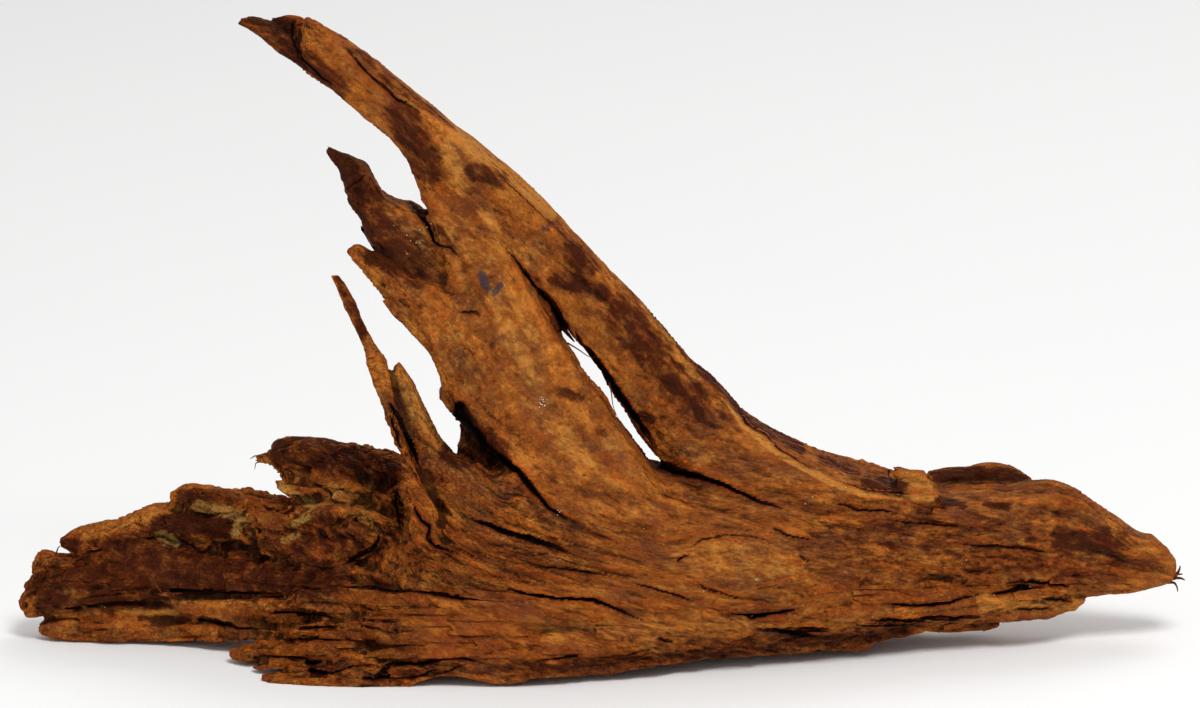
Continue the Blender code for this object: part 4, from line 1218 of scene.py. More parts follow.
def neighbour_mean(values: np.ndarray, edges: np.ndarray) -> np.ndarray:
    """The mean of each point's neighbours' values."""
    count = np.bincount(edges.ravel(), minlength=len(values)).clip(1)
    total = np.empty_like(values)
    for column in range(values.shape[1]):
        first = np.bincount(edges[:, 0], weights=values[edges[:, 1], column], minlength=len(values))
        second = np.bincount(edges[:, 1], weights=values[edges[:, 0], column], minlength=len(values))
        total[:, column] = (first + second) / count
    return total


def hollows(mesh: Mesh, passes: tuple) -> np.ndarray:
    """How deep each point lies below the mean surface around it, in millimetres, at several scales.

    Args:
        mesh: the skin.
        passes: smoothing passes of each mean, from the narrow to the wide.

    Returns:
        A column for each of them, positive in a groove.
    """
    points, normals = mesh_points(mesh), mesh_normals(mesh)
    edges = read_rows(mesh.edges, "vertices", 2, np.int32)
    smooth, found = points.copy(), []
    for step in range(1, max(passes) + 1):
        smooth = neighbour_mean(smooth, edges)
        if step in passes:
            found.append(((smooth - points) * normals).sum(1))
    return np.column_stack(found)


def store(mesh: Mesh, name: str, rows: np.ndarray) -> None:
    """Keeps up to three numbers a point on the mesh, for its material to read.

    Args:
        mesh: the mesh.
        name: name of the attribute.
        rows: one to three columns.
    """
    padded = np.zeros((len(mesh.vertices), 3), np.float32)
    padded[:, : rows.shape[1]] = rows
    mesh.attributes.new(name, "FLOAT_VECTOR", "POINT").data.foreach_set("vector", padded.ravel())


def shade_smooth(mesh: Mesh, sharp_angle: float) -> None:
    """Shades a mesh smooth, apart from edges sharper than an angle."""
    mesh.polygons.foreach_set("use_smooth", np.ones(len(mesh.polygons), bool))
    mesh.set_sharp_from_angle(angle=sharp_angle)


def mesh_faces(mesh: Mesh) -> list[np.ndarray]:
    """A mesh's three- and four-cornered faces, as rows of point numbers, an array for each kind."""
    corners = read_rows(mesh.loops, "vertex_index", 1, np.int32).ravel()
    sizes = read_rows(mesh.polygons, "loop_total", 1, np.int32).ravel()
    kinds = np.repeat(sizes, sizes)
    return [corners[kinds == size].reshape(-1, size) for size in (3, 4)]


def joined(name: str, first: Mesh, second: Mesh) -> Mesh:
    """One mesh with the points and faces of two."""
    points = mesh_points(first)
    shifted = [rows + len(points) for rows in mesh_faces(second)]
    return mesh_from(name, np.vstack([points, mesh_points(second)]), mesh_faces(first) + shifted)


@dataclass
class Grown:
    """What the pieces of wood share: the fibres' course and the marks that the material reads."""

    fibres: GrainField = field(default_factory=lambda: GrainField(GRAIN_STROKES))
    relief: Relief = field(default_factory=Relief)

    def cracks(self, points: np.ndarray) -> np.ndarray:
        """The nearest crack of each point in space, with its torn edge. See nearest_crack for the columns."""
        wiggle = 0.8 * stretched_noise(self.fibres.grain(points), 7, 2.5, 21)
        wiggle += 0.35 * stretched_noise(self.fibres.grain(points), 2.2, 1.2, 22)
        return nearest_crack(SIGHT.drawn(points), wiggle)

    def mark(self, mesh: Mesh, hollow: np.ndarray, shown: np.ndarray, cracked: float) -> None:
        """Keeps the marks on a mesh.

        Args:
            mesh: the mesh.
            hollow: narrow, middle and wide hollow of each point, which the material paints as shade in
                hollows and highlight on rises.
            shown: how far each point belongs to the front that the drawings show.
            cracked: 1 where the cracks run over the mesh, 0 where they don't.
        """
        points = mesh_points(mesh)
        drawn = SIGHT.drawn(points)
        crack = self.cracks(points)
        store(mesh, "grain", self.fibres.grain(points) / 10.0)
        store(mesh, "hollow", hollow)
        store(mesh, "crack", np.column_stack([crack[:, 0], crack[:, 1] * shown * cracked]))
        # The first stain column holds dark stains and patches of painted shade; the bright cover holds worn
        # places and painted highlights.
        kinds = (DARK_STAINS_AND_SHADE, GREY_STAINS, PALE_CRUSTS)
        store(mesh, "stain", np.column_stack([patch_cover(kind, drawn) * shown for kind in kinds]))
        rub_and_highlight_cover = patch_cover(BRIGHT_RUBS_AND_HIGHLIGHTS, drawn) * shown
        store(mesh, "wear_and_highlight", np.column_stack([rub_and_highlight_cover, patch_cover(CALM_PLACES, drawn), shown]))


@dataclass
class Wood:
    """The wood itself: one skin over all limbs, with weathered relief and cracks.

    A loft is the distance between its sections and the points round each.
    """

    grown: Grown
    core_loft: tuple = (2.5, 80)
    core_voxel: float = 1.4
    core_smoothing: int = 3
    layer_loft: tuple = (2.0, 64)
    skin_voxel: float = 0.8
    hollow_passes: tuple = (3, 12, 76)
    sharp_angle: float = math.radians(48)
    slabs: tuple = ("wood_left_end", "wood_left_flank", "wood_prongs", "wood_wing", "wood_right_end")

    def skin(self) -> Mesh:
        """The stout limbs, fused and softened where they meet, with the thin limbs fused on."""
        stout = gathered("core", [limb.loft(*self.core_loft) for limb in STOUT_LIMBS])
        core = fused("core", stout, self.core_voxel, self.core_smoothing)
        layers = gathered("layers", [limb.loft(*self.layer_loft) for limb in THIN_LIMBS])
        return fused("skin", joined("limbs", core, layers), self.skin_voxel, 0)

    def weathered(self, skin: Mesh) -> np.ndarray:
        """Where the skin's points go: out along their normals by the relief, and back into the cracks.

        Args:
            skin: the fused skin.

        Returns:
            Points, in drawing millimetres and never below the floor.
        """
        points, normals = mesh_points(skin), mesh_normals(skin)
        drawn = SIGHT.drawn(points)
        front, back = DepthMap(points, Side.FRONT), DepthMap(points, Side.BACK)
        thickness = np.nan_to_num(back.depth(drawn) - front.depth(drawn), posinf=0.0, neginf=0.0)
        strength = 0.3 + 0.7 * smooth_step(3.0, 20.0, thickness)
        calm = patch_cover(CALM_PLACES, drawn) - patch_cover(ROUGH_PLACES, drawn)
        height = self.grown.relief.height(self.grown.fibres.grain(points), calm) * strength
        shown = front.shown(points, 6.0) * smooth_step(0.0, 0.4, -normals[:, 1])
        height += shown * (2.5 * KNOT.cover(drawn) + 1.2 * SMALL_KNOT.cover(drawn))
        crack = self.grown.cracks(points)
        height += shown * crack[:, 3]
        moved = points + normals * height[:, None]
        edge = 1.0 - smooth_step(0.55, 1.0, np.abs(crack[:, 0]) / (1.2 * crack[:, 1] + 0.15))
        moved[:, 1] += shown * edge * np.minimum(crack[:, 2], 0.4 * thickness)
        moved[:, 2] = np.maximum(moved[:, 2], 0.0)
        return moved

    def slab(self, name: str, skin: Mesh, marks: np.ndarray, low: float, high: float) -> Object:
        """Cuts the stretch between two upright planes out of the skin, and closes it where it was cut.

        Args:
            name: name of the piece.
            skin: the weathered skin.
            marks: three hollows and the shown value of each of its points.
            low: place of the left plane, in the part's frame.
            high: place of the right one.

        Returns:
            The piece.
        """
        points, quads = mesh_points(skin), mesh_faces(skin)[1]
        across = to_part(points)[:, 0][quads]
        near = quads[(across.max(axis=1) > low) & (across.min(axis=1) < high)]
        used, corners = np.unique(near, return_inverse=True)
        mesh = mesh_from(name, points[used], [corners.reshape(-1, 4)])
        self.grown.mark(mesh, marks[used, :3], marks[used, 3], 1.0)
        work = bmesh.new()
        work.from_mesh(mesh)
        for place, side in ((low, False), (high, True)):
            parts = [*work.verts, *work.edges, *work.faces]
            plane = {"plane_co": (place, 0.0, 0.0), "plane_no": (1.0, 0.0, 0.0)}
            cut = bmesh.ops.bisect_plane(work, geom=parts, clear_outer=side, clear_inner=not side, **plane)
            rim = [part for part in cut["geom_cut"] if isinstance(part, bmesh.types.BMEdge)]
            bmesh.ops.holes_fill(work, edges=rim, sides=0)
        work.to_mesh(mesh)
        work.free()
        shade_smooth(mesh, self.sharp_angle)
        return add_object(name, mesh)

    def build(self) -> list[Object]:
        """Makes the wood's meshes and their marks.

        Returns:
            The finished objects, from left to right.
        """
        skin = self.skin()
        skin.vertices.foreach_set("co", to_part(self.weathered(skin)).astype(np.float32).ravel())
        skin.update()
        points, normals = mesh_points(skin), mesh_normals(skin)
        shown = DepthMap(points, Side.FRONT).shown(points, 12.0) * smooth_step(-0.3, 0.2, -normals[:, 1])
        marks = np.column_stack([hollows(skin, self.hollow_passes), shown])
        planes = np.quantile(to_part(points)[:, 0], np.linspace(0, 1, len(self.slabs) + 1))
        planes[0] -= 1.0
        planes[-1] += 1.0
        return [self.slab(name, skin, marks, *planes[i : i + 2]) for i, name in enumerate(self.slabs)]


@dataclass
class TornPlates:
    """Thin plates along the grain. Their left ends are torn and lifted, their right ends sunk."""

    grown: Grown
    zones: tuple = PLATE_ZONES
    step: float = 1.3
    thick: float = 1.0
    seed: int = 90
    # Hollows given to the plates: the negative one on their tops paints a highlight, the positive one under
    # them paints shade.
    top_painted_highlight: float = -0.12
    underside_painted_shade: float = 0.5
    sharp_angle: float = math.radians(55)
    shortest: int = 12
    steepest: float = 4.0
    crack_margin: float = 0.8

    def plate(
        self, path: np.ndarray, width: float, lift: float, depths: DepthMap, rng: np.random.Generator
    ) -> tuple[np.ndarray, int, int]:
        """One plate: path(s) + across(s) ((u - 1/2) w(s) + teeth), on the wood's depth less its lift.

        Its width is w = W (3/4 + 1/4 sin(pi v)) (1 - 0.97 v^4)^(1/2). Its lift falls from the torn end to
        below the surface at the other, and each line u starts behind the torn end by its own tooth.

        Args:
            path: drawn points a millimetre apart along the fibres.
            width: W.
            lift: height of the torn end over the wood.
            depths: where the wood's surface is.
            rng: draws the teeth.

        Returns:
            Upper and lower points as one array of rows, and the numbers of rows and columns.
        """
        length = len(path) - 1.0
        rows, columns = max(8, round(length / self.step)), max(4, round(width / self.step) + 1)
        v, u = np.linspace(0, 1, rows)[:, None], np.linspace(0, 1, columns)[None, :]
        start = min(0.22 * length, 7.0) * (0.5 + 0.5 * teeth(rng, u * width, 3.0))
        along = start + v * (length - start)
        flat = along.ravel()
        middle = np.column_stack([np.interp(flat, np.arange(len(path)), column) for column in path.T])
        across = self.grown.fibres.direction(middle)[:, ::-1] * [-1.0, 1.0]
        spread = width * (0.75 + 0.25 * np.sin(math.pi * v)) * np.sqrt(1.0 - 0.97 * v**4)
        low_edge, high_edge = teeth(rng, along, 7.0), teeth(rng, along, 7.0)
        offset = (u - 0.5) * spread + 0.09 * width * ((1 - u) ** 2 * low_edge + u**2 * high_edge)
        drawn = middle + across * offset.reshape(-1, 1)
        low_lift = 1.0 + 0.7 * (0.5 - u)
        rise = lift * low_lift * (1.0 - v) ** 1.3 + 0.75 - 2.0 * v**3 - 0.25 * (2 * u - 1) ** 4
        surface = depths.smooth_depth(drawn)
        out = depths.side.value
        grain = np.column_stack([self.grown.fibres.sampled(self.grown.fibres.charts, drawn), surface])
        fine = 0.45 * self.grown.relief.height(grain, np.zeros(len(grain)))
        top = surface + out * (rise.ravel() + fine)
        thick = self.thick * (0.5 + 0.5 * np.sqrt(1.0 - np.abs(2 * u - 1) ** 3)) * np.ones_like(v)
        upper = SIGHT.real(drawn, top)
        lower = SIGHT.real(drawn, top - out * thick.ravel())
        both = np.vstack([upper, lower])
        both[:, 2] = np.maximum(both[:, 2], 0.0)
        return both, rows, columns

    def lying(self, path: np.ndarray, depths: DepthMap) -> np.ndarray:
        """A path up to where the wood ends, falls away or is cracked. Its start may overhang."""
        surface = depths.depth(path)
        jump = np.abs(np.diff(surface, prepend=surface[:1], append=surface[-1:]))
        bad = ~np.isfinite(surface) | ~(jump[:-1] + jump[1:] < self.steepest)
        if depths.side is Side.FRONT:
            crack = nearest_crack(path, np.zeros(len(path)))
            bad |= np.abs(crack[:, 0]) - crack[:, 1] < self.crack_margin
        bad[:3] = False
        return path[: bad.argmax()] if bad.any() else path

    def build(self, skin: np.ndarray) -> Object:
        """Makes all plates in one mesh.

        Args:
            skin: the finished wood's points.

        Returns:
            The object.
        """
        rng = np.random.default_rng(self.seed)
        maps = {side: DepthMap(skin, side) for side in Side}
        plates, hollow = [], []
        for zone in self.zones:
            starts = rng.uniform(zone.low, zone.high, (zone.count, 2))
            paths = self.grown.fibres.trace(starts, 1.0, math.ceil(zone.length[1]) + 1)
            for path in paths:
                length, width = rng.uniform(*zone.length), rng.uniform(*zone.width)
                lift = rng.uniform(*zone.lift)
                path = self.lying(path[: round(length) + 1], maps[zone.side])
                if len(path) < self.shortest:
                    continue
                width = min(width, 0.4 * len(path))
                new, rows, columns = self.plate(path, width, lift, maps[zone.side], rng)
                if not np.isfinite(new).all():
                    continue
                quads = slab_faces(rows, columns)
                plates.append((new, [quads if zone.side is Side.FRONT else quads[:, ::-1]]))
                hollow.append(np.repeat([self.top_painted_highlight, self.underside_painted_shade], rows * columns))
        mesh = gathered("torn_plates", plates)
        shade_smooth(mesh, self.sharp_angle)
        log.info("torn plates: %d", len(plates))
        # The plates' hollows paint a highlight on their tops and shade under them.
        narrow = np.concatenate(hollow)
        where = mesh_points(mesh)
        shown = maps[Side.FRONT].shown(where, 12.0)
        self.grown.mark(mesh, np.column_stack([narrow, narrow, np.zeros(len(narrow))]), shown, 0.0)
        return add_object("torn_plates", mesh)


def linear(red: int, green: int, blue: int) -> tuple:
    """A colour of 0 to 255 steps as light values for shaders: ((c + 0.055) / 1.055)^2.4, by channel."""
    parts = [channel / 255 for channel in (red, green, blue)]
    return (*(c / 12.92 if c <= 0.04045 else ((c + 0.055) / 1.055) ** 2.4 for c in parts), 1.0)


class Sheet:
    """A node tree that is being laid out. Most methods add a node and return the socket of its result."""

    def __init__(self, tree: NodeTree) -> None:
        """Starts on a tree.

        Args:
            tree: the tree of a material, a world or a node group.
        """
        self.tree = tree

    def node(self, kind: str, inputs: dict, **settings: object) -> Node:
        """Adds a node.

        Args:
            kind: the node's type.
            inputs: by name or number, a socket to link or a value to set.
            settings: the node's own properties.

        Returns:
            The node.
        """
        made = self.tree.nodes.new(kind)
        for name, value in settings.items():
            setattr(made, name, value)
        for name, value in inputs.items():
            if isinstance(value, NodeSocket):
                self.tree.links.new(value, made.inputs[name])
            else:
                made.inputs[name].default_value = value
        return made

    def maths(self, operation: str, *values: object) -> NodeSocket:
        """A sum, product or other operation on numbers."""
        return self.node("ShaderNodeMath", dict(enumerate(values)), operation=operation).outputs[0]

    def vector(self, operation: str, *values: object) -> NodeSocket:
        """A sum, product or other operation on vectors."""
        return self.node("ShaderNodeVectorMath", dict(enumerate(values)), operation=operation).outputs[0]

    def ranged(
        self, value: object, low: object, high: object, out_low: float = 0.0, out_high: float = 1.0
    ) -> NodeSocket:
        """A number taken smoothly from one range to another, and held at its ends."""
        inputs = {0: value, 1: low, 2: high, 3: out_low, 4: out_high}
        return self.node("ShaderNodeMapRange", inputs, interpolation_type="SMOOTHSTEP").outputs[0]

    def mixed(self, share: object, first: object, second: object, kind: str = "MIX") -> NodeSocket:
        """Two colours mixed: the second over the first by its share."""
        inputs = {0: share, 6: first, 7: second}
        return self.node("ShaderNodeMix", inputs, data_type="RGBA", blend_type=kind).outputs[2]

    def attribute(self, name: str) -> NodeSocket:
        """A vector that the piece's mesh keeps."""
        return self.node("ShaderNodeAttribute", {}, attribute_name=name).outputs["Vector"]

    def parts(self, vector: NodeSocket) -> list:
        """The three numbers of a vector."""
        return list(self.node("ShaderNodeSeparateXYZ", {0: vector}).outputs)

    def groups(self, tree: NodeTree, **inputs: object) -> list:
        """A node group placed here.

        Args:
            tree: the group.
            inputs: by name, with _ for a space, a socket to link or a value to set.

        Returns:
            The group's outputs.
        """
        named = {name.replace("_", " "): value for name, value in inputs.items()}
        return list(self.node("ShaderNodeGroup", named, node_tree=tree).outputs)

    def group(self, tree: NodeTree, **inputs: object) -> NodeSocket:
        """The first output of a node group placed here."""
        return self.groups(tree, **inputs)[0]

    def fibrous(self, noise: NodeTree, grain: object, *numbers: object) -> NodeSocket:
        """Fibre noise of a length, width, offset and detail, placed here."""
        names = ("Length", "Width", "Offset", "Detail")
        return self.group(noise, Grain=grain, **dict(zip(names, numbers)))

    def ended(self, leave: Node, *sockets: NodeSocket) -> NodeTree:
        """The tree, with its results linked to the node that takes them."""
        for socket, place in zip(sockets, leave.inputs):
            self.tree.links.new(socket, place)
        return self.tree


def new_group(name: str, inputs: dict, *outputs: tuple) -> tuple[Sheet, dict, Node]:
    """An empty node group with its sockets.

    Args:
        name: name of the group.
        inputs: kind of each input, by name.
        outputs: name and kind of each output.

    Returns:
        The sheet to lay it out on, its inputs by name, and the node that takes its outputs.
    """
    tree = bpy.data.node_groups.new(name, "ShaderNodeTree")
    for socket, kind in inputs.items():
        tree.interface.new_socket(socket, in_out="INPUT", socket_type=kind)
    for socket, kind in outputs:
        tree.interface.new_socket(socket, in_out="OUTPUT", socket_type=kind)
    entry = tree.nodes.new("NodeGroupInput")
    leave = tree.nodes.new("NodeGroupOutput")
    return Sheet(tree), {socket.name: socket for socket in entry.outputs if socket.name}, leave


FLOAT, VECTOR, COLOUR = "NodeSocketFloat", "NodeSocketVector", "NodeSocketColor"


def fibre_noise_group() -> NodeTree:
    """Noise stretched along the grain, with lumps Length by Width millimetres."""
    inputs = {"Grain": VECTOR, "Length": FLOAT, "Width": FLOAT, "Offset": FLOAT, "Detail": FLOAT}
    sheet, given, leave = new_group("fibre noise", inputs, ("Value", FLOAT))
    stretch = sheet.node("ShaderNodeCombineXYZ", {0: given["Length"], 1: given["Width"], 2: given["Width"]})
    place = sheet.vector("DIVIDE", given["Grain"], stretch.outputs[0])
    place = sheet.vector("ADD", place, given["Offset"])
    noise = {"Vector": place, "Scale": 1.0, "Detail": given["Detail"], "Roughness": 0.6}
    return sheet.ended(leave, sheet.node("ShaderNodeTexNoise", noise).outputs[0])


def wandering_grain_group(noise: NodeTree) -> NodeTree:
    """The grain's coordinates in millimetres, pushed across the fibres so that they run in waves.

    Args:
        noise: the fibre noise group.

    Returns:
        The group.
    """
    sheet, given, leave = new_group("wandering grain", {"Grain": VECTOR, "Reach": FLOAT}, ("Grain", VECTOR))
    grain = sheet.vector("MULTIPLY", given["Grain"], (10.0, 10.0, 10.0))
    push = sheet.fibrous(noise, grain, 26.0, 9.0, 3.0, 2.0)
    push = sheet.maths("MULTIPLY", sheet.maths("SUBTRACT", push, 0.5), given["Reach"])
    along = sheet.node("ShaderNodeCombineXYZ", {0: 0.0, 1: push, 2: push})
    return sheet.ended(leave, sheet.vector("ADD", grain, along.outputs[0]))


def torn_mask_group(noise: NodeTree) -> NodeTree:
    """A soft mask with its edge torn along the grain.

    Args:
        noise: the fibre noise group.

    Returns:
        The group.
    """
    inputs = {"Mask": FLOAT, "Grain": VECTOR, "Size": FLOAT, "Offset": FLOAT, "Softness": FLOAT}
    sheet, given, leave = new_group("torn mask", inputs, ("Mask", FLOAT))
    length = sheet.maths("MULTIPLY", given["Size"], 2.6)
    lumps = sheet.fibrous(noise, given["Grain"], length, given["Size"], given["Offset"], 5.0)
    lumps = sheet.maths("MULTIPLY", sheet.maths("SUBTRACT", lumps, 0.5), 2.2)
    level = sheet.maths("ADD", given["Mask"], lumps)
    low = sheet.maths("SUBTRACT", 0.55, given["Softness"])
    high = sheet.maths("ADD", 0.55, given["Softness"])
    torn = sheet.maths("MULTIPLY", sheet.ranged(level, low, high), sheet.ranged(given["Mask"], 0.02, 0.2))
    return sheet.ended(leave, torn)


def wood_tone_group(noise: NodeTree) -> NodeTree:
    """Three tones of wood in mottles along the grain, with fine streaks and specks over them.

    Args:
        noise: the fibre noise group.

    Returns:
        The group.
    """
    inputs = {"Grain": VECTOR, "Dark": COLOUR, "Middle": COLOUR, "Light": COLOUR, "Lightness": FLOAT}
    sheet, given, leave = new_group("wood tones", inputs, ("Color", COLOUR))
    grain = given["Grain"]
    wide = sheet.fibrous(noise, grain, 36.0, 14.0, 11.0, 3.0)
    mottle = sheet.fibrous(noise, grain, 7.0, 4.5, 17.0, 6.0)
    level = sheet.maths("ADD", sheet.maths("MULTIPLY", wide, 0.8), sheet.maths("MULTIPLY", mottle, 1.1))
    level = sheet.maths("ADD", level, given["Lightness"])
    tone = sheet.mixed(sheet.ranged(level, 0.62, 0.98), given["Dark"], given["Middle"])
    tone = sheet.mixed(sheet.ranged(level, 0.95, 1.3), tone, given["Light"])
    streak = sheet.fibrous(noise, grain, 8.0, 1.1, 23.0, 3.0)
    speck = sheet.fibrous(noise, grain, 1.3, 1.0, 29.0, 3.0)
    fine = sheet.ranged(streak, 0.3, 0.7, 0.92, 1.08)
    fine = sheet.maths("MULTIPLY", fine, sheet.ranged(speck, 0.3, 0.7, 0.74, 1.26))
    return sheet.ended(leave, sheet.vector("MULTIPLY", tone, fine))


def fibre_height_group(noise: NodeTree) -> NodeTree:
    """Height in millimetres of the finest fibres and pits.

    Args:
        noise: the fibre noise group.

    Returns:
        The group.
    """
    sheet, given, leave = new_group("fibre height", {"Grain": VECTOR, "Depth": FLOAT}, ("Height", FLOAT))
    grain = given["Grain"]
    fibre = sheet.fibrous(noise, grain, 9.0, 0.8, 31.0, 3.0)
    ripple = sheet.fibrous(noise, grain, 5.5, 2.6, 37.0, 4.0)
    pit = sheet.fibrous(noise, grain, 1.6, 0.8, 41.0, 2.0)
    total = sheet.maths("ADD", sheet.maths("MULTIPLY", fibre, 0.45), sheet.maths("MULTIPLY", ripple, 1.0))
    total = sheet.maths("ADD", total, sheet.maths("MULTIPLY", pit, 0.3))
    return sheet.ended(leave, sheet.maths("MULTIPLY", total, given["Depth"]))


def flakes_group(noise: NodeTree) -> NodeTree:
    """Flakes: noise cut to steps of height 1, with masks of the painted shade at each step's foot and the
    painted highlight on its lip.

    Args:
        noise: the fibre noise group.

    Returns:
        The group.
    """
    inputs = {"Grain": VECTOR, "Length": FLOAT, "Width": FLOAT, "Offset": FLOAT, "Steps": FLOAT}
    outputs = (("Height", FLOAT), ("Foot", FLOAT), ("Lip", FLOAT))
    sheet, given, leave = new_group("flakes", inputs, *outputs)
    size = [given[name] for name in ("Grain", "Length", "Width", "Offset")]
    level = sheet.maths("MULTIPLY", sheet.fibrous(noise, *size, 4.0), given["Steps"])
    part = sheet.maths("FRACT", level)
    height = sheet.maths("ADD", sheet.maths("FLOOR", level), sheet.ranged(part, 0.8, 1.0))
    foot = sheet.maths("MULTIPLY", sheet.ranged(part, 0.45, 0.85), sheet.ranged(part, 1.0, 0.9))
    return sheet.ended(leave, height, foot, sheet.ranged(part, 0.22, 0.0))


@dataclass(frozen=True)
class Effects:
    """The node groups that the materials share."""

    noise: NodeTree
    wander: NodeTree
    torn: NodeTree
    tones: NodeTree
    height: NodeTree
    flakes: NodeTree

    @classmethod
    def built(cls) -> "Effects":
        """Makes the noise, and the groups that stand on it."""
        noise = fibre_noise_group()
        makers = (wandering_grain_group, torn_mask_group, wood_tone_group, fibre_height_group, flakes_group)
        return cls(noise, *(make(noise) for make in makers))


def new_material(name: str) -> tuple[Material, Sheet, Node]:
    """An empty material with its Principled shader.

    Args:
        name: name of the material.

    Returns:
        The material, its sheet and the shader's node.
    """
    material = bpy.data.materials.new(name)
    material.use_nodes = True
    shader = material.node_tree.nodes["Principled BSDF"]
    return material, Sheet(material.node_tree), shader


@dataclass(frozen=True)
class Finish:
    """What every finish of the wood and of what clings to it ends with."""

    roughness: float
    specular: float
    bump: float

    def wired(self, sheet: Sheet, shader: Node, tone: object, height: object) -> None:
        """Links a finish's colour and height to its shader, and sets its gloss.

        Args:
            sheet: the material's sheet.
            shader: its Principled shader.
            tone: the colour.
            height: the height, in millimetres.
        """
        bump = sheet.node("ShaderNodeBump", {"Height": height, "Distance": MM, "Strength": self.bump})
        sheet.tree.links.new(tone, shader.inputs["Base Color"])
        sheet.tree.links.new(bump.outputs[0], shader.inputs["Normal"])
        shader.inputs["Roughness"].default_value = self.roughness
        shader.inputs["Specular IOR Level"].default_value = self.specular


